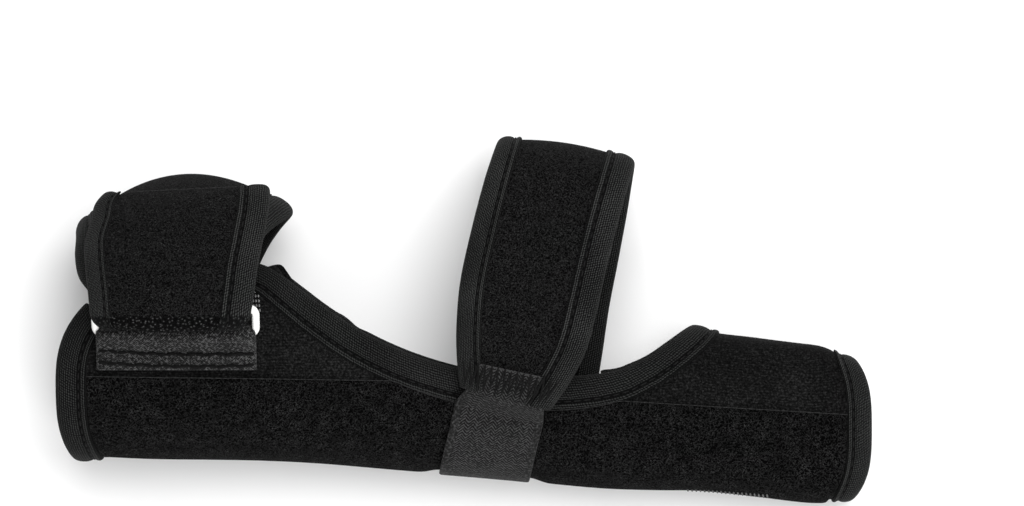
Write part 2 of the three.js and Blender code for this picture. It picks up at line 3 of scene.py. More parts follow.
import bpy
import numpy as np
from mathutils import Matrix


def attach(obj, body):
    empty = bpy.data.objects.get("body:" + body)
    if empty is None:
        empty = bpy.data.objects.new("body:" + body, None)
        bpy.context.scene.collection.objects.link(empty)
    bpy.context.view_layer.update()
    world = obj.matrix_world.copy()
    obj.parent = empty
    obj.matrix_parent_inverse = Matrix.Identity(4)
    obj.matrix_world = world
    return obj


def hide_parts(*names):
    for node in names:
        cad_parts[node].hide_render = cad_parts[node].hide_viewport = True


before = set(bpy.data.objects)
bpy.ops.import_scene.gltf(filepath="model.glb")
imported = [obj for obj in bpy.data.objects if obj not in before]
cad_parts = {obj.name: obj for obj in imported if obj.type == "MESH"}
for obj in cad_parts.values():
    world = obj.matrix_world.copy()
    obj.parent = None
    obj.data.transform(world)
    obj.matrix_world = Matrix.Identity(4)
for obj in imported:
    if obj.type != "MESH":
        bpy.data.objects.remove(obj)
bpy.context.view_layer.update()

# Gutter shell
# A laminate of black knit on both faces of a thin foam, cut flat, turned into a gutter along the
# little-finger side, and closed at its far end into a sleeve.
# Sizes are millimetres on the cutting table; PLACE moves the table's origin under the splint.
PLACE = np.array((-0.50, -4.84, 0.0))
FORM = (  # x along it, little-finger side, thumb side, height of the section
    (-118, -34.5, 33, 50),
    (-75, -34.0, 37, 49),
    (-47, -34.8, 42, 46),
    (-18, -37.2, 46, 42),
    (10, -39.6, 42, 39),
    (39, -42.4, 22, 35.5),
    (55, -43.0, 8.5, 33),
    (67, -43.2, 2.4, 31),
    (84, -45.0, -0.2, 28.5),
    (98, -46.7, -2.0, 27),
    (104, -46.8, -2.8, 26.6),
    (109, -46.4, -6.0, 26.2),
    (118, -46.0, -7.4, 25.6),
)
CROWN_POWER = 2.3
PALM_POWER = 3.2
PALM_PRESS = 0.08
OPENING_EDGE = (  # x, y of the cut edge, the same on the top and the palm side
    (-112, 7.6), (-83, 15.0), (-61, 20.6), (-55, 19.0), (-48, 13.8),
    (-41, 8.3), (-30, 0.8), (-18, -5.2), (-6, -9.4), (6, -12.1),
    (20, -12.8), (34, -12.2), (44, -10.4), (52, -7.4), (58, -3.8),
    (64, 0.2), (72, 6), (84, 30),
)
FOREARM_END = {"x": -114.2, "middle": -15, "half": 26, "bow": 10.5, "power": 3}
FINGER_END = {"x": 115.2, "middle": -26, "half": 21.5, "bow": -6.5, "power": 3.5}
ARM_BOW = (-40, 60)  # where the forearm end's bow begins, and over how far it grows
TIPS_BOW = (60, 50)
EDGE_ROLL = {"lift": 1.2, "full": 8, "run": 6}
WALL = 3.2
SHELL_TUCK = 0.5  # the cut edge stops this far inside its binding
SHELL_GIRTH = 64
SHELL_NECK = 54  # x where the rows of cloth start to close up towards the crotch
SHELL_CROTCH = 66.6  # x where the opening closes into the sleeve
BINDING_REACH = 7.0
TAB_HALF = 12.5  # half the width of the hook tab that presses on the gutter's side
TAB_TOP = (9.9, -20.4)  # where its middle comes down onto the loop strip
TAB_SLANT = 0.225
TAB_PRESS = {"depth": 1.15, "below": 4, "ease": 8, "reach": 1.5, "fade": 0.42}
TAB_FLOOR = (2, 6)  # height where the press starts, and over how far it grows


def smooth(t):
    t = np.clip(t, 0, 1)
    return t * t * (3 - 2 * t)


def signed_power(v, power):
    return np.sign(v) * np.abs(v) ** power


def along(rows, column, x):
    """A column of a table at x, on a smooth curve through its rows."""
    table = np.array(rows, float)
    at, values = table[:, 0], table[:, column]
    slope = np.empty_like(values)
    slope[1:-1] = (values[2:] - values[:-2]) / (at[2:] - at[:-2])
    slope[0] = (values[1] - values[0]) / (at[1] - at[0])
    slope[-1] = (values[-1] - values[-2]) / (at[-1] - at[-2])
    x = np.clip(x, at[0], at[-1])
    i = np.clip(np.searchsorted(at, x, side="right") - 1, 0, len(at) - 2)
    span = at[i + 1] - at[i]
    t = (x - at[i]) / span
    rest = 1 - t
    start = (1 + 2 * t) * rest * rest * values[i] + t * rest * rest * span * slope[i]
    finish = t * t * (3 - 2 * t) * values[i + 1] - t * t * rest * span * slope[i + 1]
    return start + finish


def end_x(end, y):
    return end["x"] + end["bow"] * np.abs((y - end["middle"]) / end["half"]) ** end["power"]


def inside_edge(x, y):
    """How far a point in plan lies inside the gutter's cut edges."""
    ends = np.minimum(x - end_x(FOREARM_END, y), end_x(FINGER_END, y) - x)
    return np.minimum(along(OPENING_EDGE, 1, x) - y, ends)


def form(x, angle, lift=0.0):
    """Points of the worn form: angle 0 is the thumb side, a quarter turn the top."""
    x, angle = np.broadcast_arrays(np.asarray(x, float), np.asarray(angle, float))
    low, high, half_height = along(FORM, 1, x), along(FORM, 2, x), along(FORM, 3, x) / 2
    c, s = np.cos(angle), np.sin(angle)
    palm = s < 0
    power = np.where(palm, 2 / PALM_POWER, 2 / CROWN_POWER)
    press = np.where(palm, 1 + PALM_PRESS, 1.0)
    y = (low + high) / 2 + ((high - low) / 2 + lift) * signed_power(c, power)
    z = half_height + (half_height + lift) * press * signed_power(s, power)
    past_full = (inside_edge(x, y) - EDGE_ROLL["full"]) / EDGE_ROLL["run"]
    roll = EDGE_ROLL["lift"] * smooth(1 - past_full)
    z = np.where(palm, np.maximum(z, -lift) + roll * np.minimum(1, -3 * s), z)
    return np.stack((x, y, z), axis=-1)


def angle_at_plan(x, y, palm):
    low, high = along(FORM, 1, x), along(FORM, 2, x)
    share = np.clip((y - (low + high) / 2) / ((high - low) / 2), -1, 1)
    turn = np.arccos(signed_power(share, (PALM_POWER if palm else CROWN_POWER) / 2))
    return 2 * np.pi - turn if palm else turn


def angle_at_height(x, z, start):
    """The angle past start, round the little-finger side, at which the form has come down to z."""
    side = np.linspace(start, 1.45 * np.pi, 500)
    return side[np.argmin(np.abs(form(x, side)[:, 2] - z))]


def distances(points):
    """Distance run along a row of points, from its first."""
    steps = np.linalg.norm(np.diff(points, axis=0), axis=-1)
    return np.concatenate((np.zeros_like(steps[:1]), np.cumsum(steps, axis=0)))


def eased(path, steps):
    """The same path on a smooth curve, in even steps."""
    table = np.column_stack((distances(path), path))
    at = np.linspace(0, table[-1, 0], steps)
    return np.stack([along(table, k, at) for k in range(1, table.shape[1])], axis=-1)


def spread(x, start, stop, count, lift=0.0):
    """Angles from start to stop at x, evenly spaced over the cloth."""
    fine = np.linspace(start, stop, 400)
    run = distances(form(x, fine, lift))
    return np.interp(np.linspace(0, run[-1], count), run, fine)


def bowed(station, y):
    """x of a station whose line follows the bow of the nearer end of the gutter."""
    near_arm = smooth((ARM_BOW[0] - station) / ARM_BOW[1])
    near_tips = smooth((station - TIPS_BOW[0]) / TIPS_BOW[1])
    to_arm = end_x(FOREARM_END, y) - FOREARM_END["x"]
    to_tips = end_x(FINGER_END, y) - FINGER_END["x"]
    return station + near_arm * to_arm + near_tips * to_tips


def pressed_in(x, angle):
    """How far the fastened hook tab presses the side of the gutter in."""
    spot = form(x, angle)
    y, z = spot[..., 1], spot[..., 2]
    off_middle = np.abs(x - TAB_TOP[0] - (y - TAB_TOP[1]) * TAB_SLANT) / TAB_HALF
    beside = smooth((TAB_PRESS["reach"] - off_middle) / TAB_PRESS["fade"])
    below_top = smooth((TAB_TOP[1] - TAB_PRESS["below"] - y) / TAB_PRESS["ease"])
    above_floor = smooth((z - TAB_FLOOR[0]) / TAB_FLOOR[1])
    return TAB_PRESS["depth"] * beside * below_top * above_floor


def metres(points):
    return (np.asarray(points) + PLACE) / 1000


def alone(piece):
    """Makes a piece the only one that the next operators act on."""
    bpy.ops.object.select_all(action="DESELECT")
    piece.select_set(True)
    bpy.context.view_layer.objects.active = piece


def cloth(name, places, spot, outward, sewn_down=None, across=None):
    """A grid of cloth laid on rows of places, its faces pointing outward at one spot. Its UV map is
    the flat cloth in metres: u across the rows' points, v from row to row. sewn_down marks the
    places that seams hold, and across gives u where it isn't measured."""
    r, c = spot
    rows, columns = places.shape[:2]
    u = distances(places.transpose(1, 0, 2)).T if across is None else np.tile(across, (rows, 1))
    sideways, run = places[r, c + 1] - places[r, c - 1], places[r + 1, c] - places[r - 1, c]
    turn = slice(None, None, -1 if np.dot(np.cross(sideways, run), outward) < 0 else 1)
    places, u = places[:, turn], u[:, turn]
    bpy.ops.object.select_all(action="DESELECT")
    bpy.ops.mesh.primitive_grid_add(x_subdivisions=columns - 1, y_subdivisions=rows - 1, size=1)
    piece = bpy.context.object
    piece.name = piece.data.name = name
    flat = np.empty(len(piece.data.vertices) * 3)
    piece.data.vertices.foreach_get("co", flat)
    flat = flat.reshape(-1, 3) + 0.5
    column = np.rint(flat[:, 0] * (columns - 1)).astype(int)
    row = np.rint(flat[:, 1] * (rows - 1)).astype(int)
    piece.data.vertices.foreach_set("co", metres(places[row, column]).ravel())
    u = (u - u.mean(axis=1, keepdims=True)) / 1000
    v = distances(places[:, columns // 2]) / 1000
    corner = np.empty(len(piece.data.loops), int)
    piece.data.loops.foreach_get("vertex_index", corner)
    uv = np.stack((u[row, column][corner], v[row][corner]), axis=-1)
    piece.data.uv_layers.active.data.foreach_set("uv", uv.ravel())
    if sewn_down is not None:
        held = np.flatnonzero(sewn_down[:, turn][row, column])
        piece.vertex_groups.new(name="sewn_down").add(held.tolist(), 1.0, "REPLACE")
    piece.data.update()
    return piece


def apply(piece, kind, **settings):
    """Adds a modifier to a piece and applies it."""
    alone(piece)
    modifier = piece.modifiers.new(kind.lower(), kind)
    for key, value in settings.items():
        setattr(modifier, key, value)
    bpy.ops.object.modifier_apply(modifier=modifier.name)


def close_seam(piece, reach=0.00005):
    """Merges cloth that meets itself edge to edge."""
    alone(piece)
    bpy.ops.object.mode_set(mode="EDIT")
    bpy.ops.mesh.select_all(action="SELECT")
    bpy.ops.mesh.remove_doubles(threshold=reach)
    bpy.ops.object.mode_set(mode="OBJECT")


def soften(piece):
    alone(piece)
    bpy.ops.object.shade_smooth()


SWELL_FRAMES = 20


def swell(piece, push, most):
    """Lets the foam swell a panel between its seams: cloth under pressure, moving at most so many
    millimetres."""
    flat = np.empty(len(piece.data.vertices) * 3)
    piece.data.vertices.foreach_get("co", flat)
    alone(piece)
    modifier = piece.modifiers.new("swell", "CLOTH")
    modifier.settings.vertex_group_mass = "sewn_down"
    modifier.settings.mass = 0.002
    modifier.settings.use_pressure = True
    modifier.settings.uniform_pressure_force = push
    modifier.settings.effector_weights.gravity = 0
    modifier.point_cache.frame_start, modifier.point_cache.frame_end = 1, SWELL_FRAMES
    for step in range(1, SWELL_FRAMES + 1):
        bpy.context.scene.frame_set(step)
    bpy.ops.object.modifier_apply(modifier=modifier.name)
    bpy.context.scene.frame_set(1)
    full = np.empty_like(flat)
    piece.data.vertices.foreach_get("co", full)
    flat, full = flat.reshape(-1, 3), full.reshape(-1, 3)
    move = full - flat
    size = np.linalg.norm(move, axis=1, keepdims=True)
    kept = flat + move * (most / 1000) / (most / 1000 + size)
    kept[:, 2] = np.maximum(kept[:, 2], 0)
    piece.data.vertices.foreach_set("co", kept.ravel())
    piece.data.update()


def thicken(piece, thickness, offset=-1.0, push=0.0, most=0.0):
    """Gives a grid of cloth its thickness in millimetres, swells it where it is foam, and rounds
    it."""
    apply(piece, "SOLIDIFY", thickness=thickness / 1000, offset=offset, use_even_offset=True)
    if push:
        swell(piece, push, most)
    apply(piece, "SUBSURF", levels=1, render_levels=1)
    soften(piece)


def fit(piece, finish, slot, *nodes):
    """Puts a finished piece on the splint in place of its CAD nodes."""
    piece.data.materials.clear()
    piece.data.materials.append(finish)
    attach(piece, "root")
    if nodes:
        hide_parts(*nodes)


def node(tree, kind, sockets=None, **settings):
    """Adds a shader node. A socket's value is a number, a colour or another node's output."""
    made = tree.nodes.new("ShaderNode" + kind)
    for key, value in settings.items():
        setattr(made, key, value)
    for key, value in (sockets or {}).items():
        if isinstance(value, bpy.types.NodeSocket):
            tree.links.new(value, made.inputs[key])
        else:
            made.inputs[key].default_value = value
    return made


def laid_on(tree, kind="Object"):
    """Where a pattern lies: on the piece, or with UV on its flat cloth."""
    return node(tree, "TexCoord").outputs[kind]


def reckon(tree, operation, *values):
    """One step of arithmetic on outputs and numbers."""
    return node(tree, "Math", dict(enumerate(values)), operation=operation).outputs["Value"]


def rising(tree, value, low, high, **settings):
    """0 to 1 as a value goes from low to high."""
    sockets = {"Value": value, "From Min": low, "From Max": high}
    return node(tree, "MapRange", sockets, **settings).outputs["Result"]


def ramp(tree, factor, *stops):
    """A colour ramp through (place, grey or colour) stops."""
    made = node(tree, "ValToRGB", {"Fac": factor})
    band = made.color_ramp
    while len(band.elements) < len(stops):
        band.elements.new(0.5)
    for element, (place, colour) in zip(band.elements, stops):
        element.position = place
        element.color = (*colour, 1) if isinstance(colour, tuple) else (colour,) * 3 + (1,)
    return made.outputs["Color"]


def sum_of(tree, *parts):
    """The sum of (output, share) parts."""
    total = None
    for output, share in parts:
        part = reckon(tree, "MULTIPLY", output, share)
        total = part if total is None else reckon(tree, "ADD", total, part)
    return total


def noise(tree, vector, grain, detail, roughness):
    """Noise whose grains are about so many millimetres."""
    sockets = {"Vector": vector, "Scale": 1000 / grain, "Detail": detail, "Roughness": roughness}
    return node(tree, "TexNoise", sockets).outputs["Fac"]


def bands(tree, vector, pitch, direction, wander):
    """Parallel yarns, a pitch in millimetres apart."""
    sockets = {"Vector": vector, "Scale": 314 / pitch, "Distortion": wander, "Detail": 1}
    return node(tree, "TexWave", sockets, bands_direction=direction).outputs["Fac"]


def finish_named(name, roughness, specular, sheen, sheen_roughness=0.45):
    """A new finish with its shader, ready for colour and bump."""
    made = bpy.data.materials.new(name)
    made.use_nodes = True
    shader = made.node_tree.nodes["Principled BSDF"]
    shader.inputs["Roughness"].default_value = roughness
    shader.inputs["Specular IOR Level"].default_value = specular
    shader.inputs["Sheen Weight"].default_value = sheen
    shader.inputs["Sheen Roughness"].default_value = sheen_roughness
    return made, made.node_tree, shader


def dress(tree, shader, colour, height, depth):
    """Joins a finish's colour and its relief, depth millimetres deep, to its shader."""
    bump = node(tree, "Bump", {"Height": height, "Distance": depth / 1000})
    tree.links.new(colour, shader.inputs["Base Color"])
    tree.links.new(bump.outputs["Normal"], shader.inputs["Normal"])


shell_stations = np.concatenate(
    (
        np.linspace(FOREARM_END["x"], SHELL_NECK, 64, endpoint=False),
        SHELL_CROTCH - (SHELL_CROTCH - SHELL_NECK) * np.linspace(1, 0, 14, endpoint=False) ** 2,
        np.linspace(SHELL_CROTCH, FINGER_END["x"], 20),
    )
)
shell_stations[0] += SHELL_TUCK
shell_stations[-1] -= SHELL_TUCK
shell_places = []
for station in shell_stations:
    edge = along(OPENING_EDGE, 1, station) - SHELL_TUCK
    start, stop = angle_at_plan(station, edge, False), angle_at_plan(station, edge, True)
    angles = spread(station, start, stop, SHELL_GIRTH)
    x = bowed(station, form(station, angles)[:, 1])
    shell_places.append(form(x, angles, -pressed_in(x, angles)))
shell_places = np.array(shell_places)
shell = cloth("gutter_shell", shell_places, (40, 32), (0, -1, 0))
close_seam(shell)
thicken(shell, WALL)

laminate, tree, shader = finish_named("laminate_knit", 0.95, 0.04, 0.015)
place, uv = laid_on(tree), laid_on(tree, "UV")
grain = noise(tree, place, 0.62, 3, 0.7)
courses = bands(tree, uv, 0.8, "X", 2.5)
broad = noise(tree, place, 20, 3, 0.5)
tone = sum_of(tree, (grain, 0.85), (courses, 0.05), (broad, 0.16))
colour = ramp(tree, tone, (0.4, 0.0006), (0.555, 0.005), (0.72, 0.021))
dress(tree, shader, colour, sum_of(tree, (grain, 1.0), (courses, 0.15)), 0.1)
fit(shell, laminate, "laminate", "shell")

# Loop strip
# A strip of black loop pile along the little-finger side, sewn down all round, that the hook
# fasteners hold on. It runs from the forearm binding to the finger binding.
STRIP_HIGH = ((-112, -10.4), (-44, -11.3), (-4, -12.5), (44, -17.7), (112, -22.4))  # upper edge
STRIP_LOW = ((-110, 34), (-85, 27), (-60, 22), (0, 17), (110, 12))  # x, height of its low edge
STRIP_ROWS = 112
STRIP_COLUMNS = 24
STRIP_LIFT = 1.0
LOOP_PILE = 0.9
NARROW_REACH = 5.4
STRIP_CLEAR = 0.4
strip_places = []
strip_start = FOREARM_END["x"] + BINDING_REACH + STRIP_CLEAR
strip_stop = FINGER_END["x"] - NARROW_REACH - STRIP_CLEAR
for station in np.linspace(strip_start, strip_stop, STRIP_ROWS):
    edge = along(OPENING_EDGE, 1, station) - BINDING_REACH - STRIP_CLEAR
    start = angle_at_plan(station, min(along(STRIP_HIGH, 1, station), edge), False)
    stop = angle_at_height(station, along(STRIP_LOW, 1, station), start)
    angles = spread(station, start, stop, STRIP_COLUMNS)
    x = bowed(station, form(station, angles)[:, 1])
    strip_places.append(form(x, angles, STRIP_LIFT - pressed_in(x, angles)))
strip_places = np.array(strip_places)
loop_strip = cloth("loop_pile_strip", strip_places, (55, 11), (0, -1, 0.5))
thicken(loop_strip, LOOP_PILE)

loop_pile, tree, shader = finish_named("loop_pile", 1.0, 0.02, 0.012)
place = laid_on(tree)
wool = noise(tree, place, 0.85, 2, 0.65)
curls = ramp(tree, wool, (0.38, 0.0), (0.5, 1.0), (0.58, 0.2), (0.66, 0.0))
fibres = noise(tree, place, 0.45, 4, 0.7)
patches = noise(tree, place, 3.5, 3, 0.6)
tone = sum_of(tree, (curls, 0.5), (fibres, 0.45), (patches, 0.3))
colour = ramp(tree, tone, (0.44, 0.0004), (0.66, 0.0026), (0.84, 0.0145), (1.0, 0.052))
dress(tree, shader, colour, sum_of(tree, (curls, 0.8), (fibres, 0.8)), 0.3)
fit(loop_strip, loop_pile, "loop_pile", "loop_strip")

# Edge bindings of the gutter
# Black ribbed knit tape folded over each cut edge and sewn through: a broad rolled band, the
# stitch line in a groove, and the narrow folded margin of the tape inside it.
BAND = (  # q out past the cut edge, n off the middle of the cloth, round the fold of the tape
    (-7.5, 1.72), (-7.35, 2.2), (-6.8, 2.52), (-6.1, 2.5), (-5.5, 2.2),
    (-5.15, 1.92), (-4.8, 2.12), (-4.1, 2.54), (-2.7, 2.8), (-1.1, 2.66),
    (0.1, 2.3), (0.95, 1.6), (1.38, 0.6), (1.38, -0.6), (0.95, -1.6),
    (0.1, -2.25), (-1.1, -2.5), (-2.7, -2.56), (-4.1, -2.36), (-4.8, -2.06),
    (-5.15, -1.9), (-5.5, -2.06), (-6.1, -2.36), (-6.8, -2.4), (-7.35, -2.2),
    (-7.5, -1.72),
)
BAND_TOP = 8  # index of the top of the band
BAND_GROOVE = 5  # index of the stitch line
BAND_ACROSS = distances(np.array(BAND))  # flat places across the tape
STITCH_LINE = BAND[BAND_GROOVE][0]
STITCH_HEIGHT = 2.1
TAPE_CLOTH = 0.5
TAPE_STEP = 1.4
STITCH_PITCH = 2.8
PUCKER = {"depth": 0.09, "reach": 1.6, "everywhere": 0.25}
SLACK = ((0.06, 7.1), (0.05, 3.3))  # height and length of the tape's slow waves


def unit(vectors):
    return vectors / np.linalg.norm(vectors, axis=-1, keepdims=True)


def even_path(x, angle, pitch):
    """The same path over the form with its places evenly spaced."""
    run = distances(form(x, angle, -WALL / 2))
    spots = np.linspace(0, run[-1], max(3, round(run[-1] / pitch)))
    return np.interp(spots, run, x), np.interp(spots, run, angle)


def on_form(points, lift):
    """The nearest points of the form's section to points, lifted off it."""
    turns = np.linspace(0, 2 * np.pi, 721)
    found = []
    for point in points:
        section = form(point[0], turns, -WALL / 2)
        gap = np.sum((section - point) ** 2, axis=-1)
        i = int(np.argmin(gap))
        before, here, after = gap[i - 1], gap[i], gap[(i + 1) % len(gap)]
        bend = before - 2 * here + after
        nudge = 0.5 * (before - after) / bend if bend > 1e-12 else 0.0
        found.append(turns[i] + np.clip(nudge, -0.5, 0.5) * (turns[1] - turns[0]))
    return form(points[:, 0], np.array(found), lift)


def narrowed(q, reach):
    """A place across the band, for a tape that reaches less far over the cloth."""
    return q * reach / BINDING_REACH if q < 0 else q


def band_section(run, reach):
    """The tape's section along its run: q, and n with the puckers that the stitches draw in it."""
    slack = sum(height * np.sin(run / length) for height, length in SLACK)
    for q, n in BAND:
        share = math.exp(-(((q - STITCH_LINE) / PUCKER["reach"]) ** 2)) + PUCKER["everywhere"]
        pull = share * (PUCKER["depth"] * np.cos(2 * np.pi * run / STITCH_PITCH) + slack)
        yield narrowed(q, reach), n + math.copysign(1, n) * pull


def gutter_tape(name, x, angle, outward, reach=BINDING_REACH, looped=False):
    """Binding tape along a path over the gutter's edge; returns it with its stitch lines."""
    x, angle = even_path(x, angle, TAPE_STEP)
    middle = form(x, angle, -WALL / 2)
    if looped:
        wrapped = np.concatenate((middle[-2:-1], middle, middle[1:2]))
        tangent = unit(wrapped[2:] - wrapped[:-2])
    else:
        tangent = unit(np.gradient(middle, axis=0))
    normal = unit(form(x, angle, 1) - form(x, angle, 0))
    out = unit(np.cross(tangent, normal))
    out *= np.sign(np.sum(out * outward(x), axis=-1, keepdims=True))
    run = distances(middle)
    rows = [on_form(middle + out * q, n - WALL / 2) for q, n in band_section(run, reach)]
    places = np.array(rows).transpose(1, 0, 2)
    piece = cloth(name, places, (len(x) // 2, BAND_TOP), normal[len(x) // 2], across=BAND_ACROSS)
    if looped:
        close_seam(piece)
    thicken(piece, TAPE_CLOTH)
    line = middle + out * narrowed(STITCH_LINE, reach)
    seams = [on_form(line, sign * STITCH_HEIGHT - WALL / 2) for sign in (1, -1)]
    return piece, run[-1], seams


def opening_slope(x):
    slope = along(OPENING_EDGE, 1, x + 1) - along(OPENING_EDGE, 1, x)
    return np.stack((-slope, np.ones_like(x), np.zeros_like(x)), axis=-1)


EDGE_TURNS = 46.0  # x past which the edge is followed by its turn round the crotch
EDGE_BEYOND = 74.0  # x safely past the crotch


def opening_edge(start, palm):
    """The opening's edge on the top or the palm side, from x = start to the sleeve's crotch."""
    x = np.linspace(start, EDGE_TURNS, 160)
    angle = angle_at_plan(x, along(OPENING_EDGE, 1, x), palm)
    turn = np.linspace(angle[-1], 2 * np.pi if palm else 0, 80)
    low, high = np.full_like(turn, EDGE_TURNS), np.full_like(turn, EDGE_BEYOND)
    for _ in range(40):
        x_try = (low + high) / 2
        short = along(OPENING_EDGE, 1, x_try) < form(x_try, turn, -WALL / 2)[:, 1]
        low, high = np.where(short, x_try, low), np.where(short, high, x_try)
    return np.concatenate((x, low[1:])), np.concatenate((angle, turn[1:]))


def end_edge(end, start, stop):
    turn = np.linspace(start, stop, 260)
    x = np.full_like(turn, end["x"])
    for _ in range(8):
        x = end_x(end, form(x, turn, -WALL / 2)[:, 1])
    return x, turn


CORNER = (-104.4, 9.6)  # where the opening's edge meets the forearm end
HAND_STRAP_EDGES = (3.7, 37.3)  # the hand strap's two edges where it leaves the palm edge
STRAP_ROOM = 2.0
CORNER_ROOM = 2.6
THENAR_START = -54.6
back_x, back_turn = opening_edge(CORNER[0] + BINDING_REACH + CORNER_ROOM, False)
palm_x, palm_turn = opening_edge(HAND_STRAP_EDGES[1] + STRAP_ROOM, True)
opening_tape, opening_run, opening_seams = gutter_tape(
    "opening_tape",
    np.concatenate((back_x, palm_x[::-1][1:])),
    np.concatenate((back_turn, palm_turn[::-1][1:] - 2 * np.pi)),
    opening_slope,
)
thenar_x = np.linspace(THENAR_START, HAND_STRAP_EDGES[0] - STRAP_ROOM, 120)
thenar_tape, thenar_run, thenar_seams = gutter_tape(
    "thenar_tape",
    thenar_x,
    angle_at_plan(thenar_x, along(OPENING_EDGE, 1, thenar_x), True),
    opening_slope,
)
forearm_tape, forearm_run, forearm_seams = gutter_tape(
    "forearm_tape",
    *end_edge(FOREARM_END, angle_at_plan(*CORNER, False), angle_at_plan(*CORNER, True)),
    lambda x: np.array((-1.0, 0, 0)),
)
finger_tape, finger_run, finger_seams = gutter_tape(
    "finger_tape",
    *end_edge(FINGER_END, 0, 2 * np.pi),
    lambda x: np.array((1.0, 0, 0)),
    NARROW_REACH,
    looped=True,
)


def pulled_open_and_shaded(tree, limit):
    """1 where cloth lies past a limit of y and z in metres, pulled open round the ring and painted
    darker as the fold's shade, else 0.
    """
    place = laid_on(tree)
    spot = node(tree, "SeparateXYZ", {"Vector": place})
    past = rising(tree, spot.outputs["Y"], limit[0], limit[0] - 0.0007)
    high = rising(tree, spot.outputs["Z"], limit[1] - 0.001, limit[1])
    return reckon(tree, "MULTIPLY", past, high)


def open_loops(tree, uv):
    """The specks of light on loops that stand apart."""
    stretched = node(tree, "Mapping", {"Vector": uv, "Scale": (0.8, 1.1, 1.0)}).outputs["Vector"]
    sockets = {"Vector": stretched, "Scale": 980, "Randomness": 1.0}
    knots = node(tree, "TexVoronoi", sockets, voronoi_dimensions="2D")
    return ramp(tree, knots.outputs["Distance"], (0.06, 1.0), (0.24, 0.4), (0.45, 0.0))


def mixed(tree, closed, opened, gate):
    """closed where the gate is 0, opened where it is 1."""
    return sum_of(tree, (closed, reckon(tree, "SUBTRACT", 1.0, gate)), (opened, gate))


def rib_finish(name, painted_shade_factor=1.0, limit=None):
    """Ribbed knit tape. A shade factor below 1 darkens the whole tape as painted shade, and limit
    is the y and z past which it is pulled open round the ring and painted darker as the fold's
    shade. The stitch groove and the margin's edge by the cloth carry painted shade, the folded lip
    a painted highlight."""
    finish, tree, shader = finish_named(name, 0.9, 0.06, 0.02)
    uv = laid_on(tree, "UV")
    ribs = bands(tree, uv, 0.64, "X", 2.4)
    slanted = node(tree, "Mapping", {"Vector": uv, "Rotation": (0, 0, math.radians(24))})
    ticks = bands(tree, slanted.outputs["Vector"], 0.66, "Y", 3.4)
    grain = noise(tree, uv, 0.5, 3, 0.7)
    broad = noise(tree, uv, 14, 3, 0.5)
    sideways = node(tree, "SeparateXYZ", {"Vector": uv}).outputs["X"]
    sideways = reckon(tree, "ABSOLUTE", sideways)
    groove = abs(BAND_ACROSS[BAND_GROOVE] - BAND_ACROSS.mean()) / 1000
    margin = BAND_ACROSS[-1] / 2000
    bend = {"interpolation_type": "SMOOTHSTEP"}
    # Painted highlight on the lip of the folded margin; painted shade down in the stitch groove
    # (sunk) and at the margin's edge by the cloth.
    lip = rising(tree, sideways, groove + 0.0004, groove + 0.0009, **bend)
    margin_crease_shade = rising(tree, sideways, margin - 0.0011, margin - 0.0002)
    off_groove = reckon(tree, "ABSOLUTE", reckon(tree, "SUBTRACT", sideways, groove))
    sunk = rising(tree, off_groove, 0.0008, 0.0001)
    relief = sum_of(tree, (ribs, 0.4), (ticks, 0.27), (grain, 0.88))
    tone = sum_of(tree, (relief, 0.7), (broad, 0.2), (lip, 0.03), (sunk, -0.45), (margin_crease_shade, -0.42))
    if limit is not None:
        opened_shaded_tone = sum_of(tree, (open_loops(tree, uv), 0.34), (grain, 0.9))
        # Past the limit the tape is painted darker, as the shade of the fold round the ring bar,
        # with its loops standing open.
        tone = mixed(tree, tone, opened_shaded_tone, pulled_open_and_shaded(tree, limit))
    blacks = np.array(((0.0011, 0.0012, 0.0012), (0.0078, 0.0082, 0.008), (0.037, 0.038, 0.037)))
    dark, middle, light = (tuple(black) for black in painted_shade_factor * blacks)
    dress(tree, shader, ramp(tree, tone, (0.51, dark), (0.68, middle), (0.83, light)), relief, 0.18)
    return finish


# The gutter's tapes are the same tape as the rest, darkened to 0.7 as painted shade because they
# lie in shade.
gutter_rib_shaded = rib_finish("gutter_rib_shaded", 0.7)
binding_rib = rib_finish("binding_rib")
for piece, finish, node_name, run, reach in (
    (opening_tape, gutter_rib_shaded, "opening_binding", opening_run, BINDING_REACH),
    (thenar_tape, gutter_rib_shaded, "thenar_binding", thenar_run, BINDING_REACH),
    (forearm_tape, gutter_rib_shaded, "forearm_binding", forearm_run, BINDING_REACH),
    (finger_tape, binding_rib, "finger_binding", finger_run, NARROW_REACH),
):
    fit(piece, finish, "binding_tape", node_name)

# Binding stitches
# Black sewing thread through tape and cloth, one lockstitch after another in the groove of each
# binding, on both faces, and along the edges of the loop strip.
STITCH_LENGTH = 2.2
THREAD = 0.42  # thickness of the thread


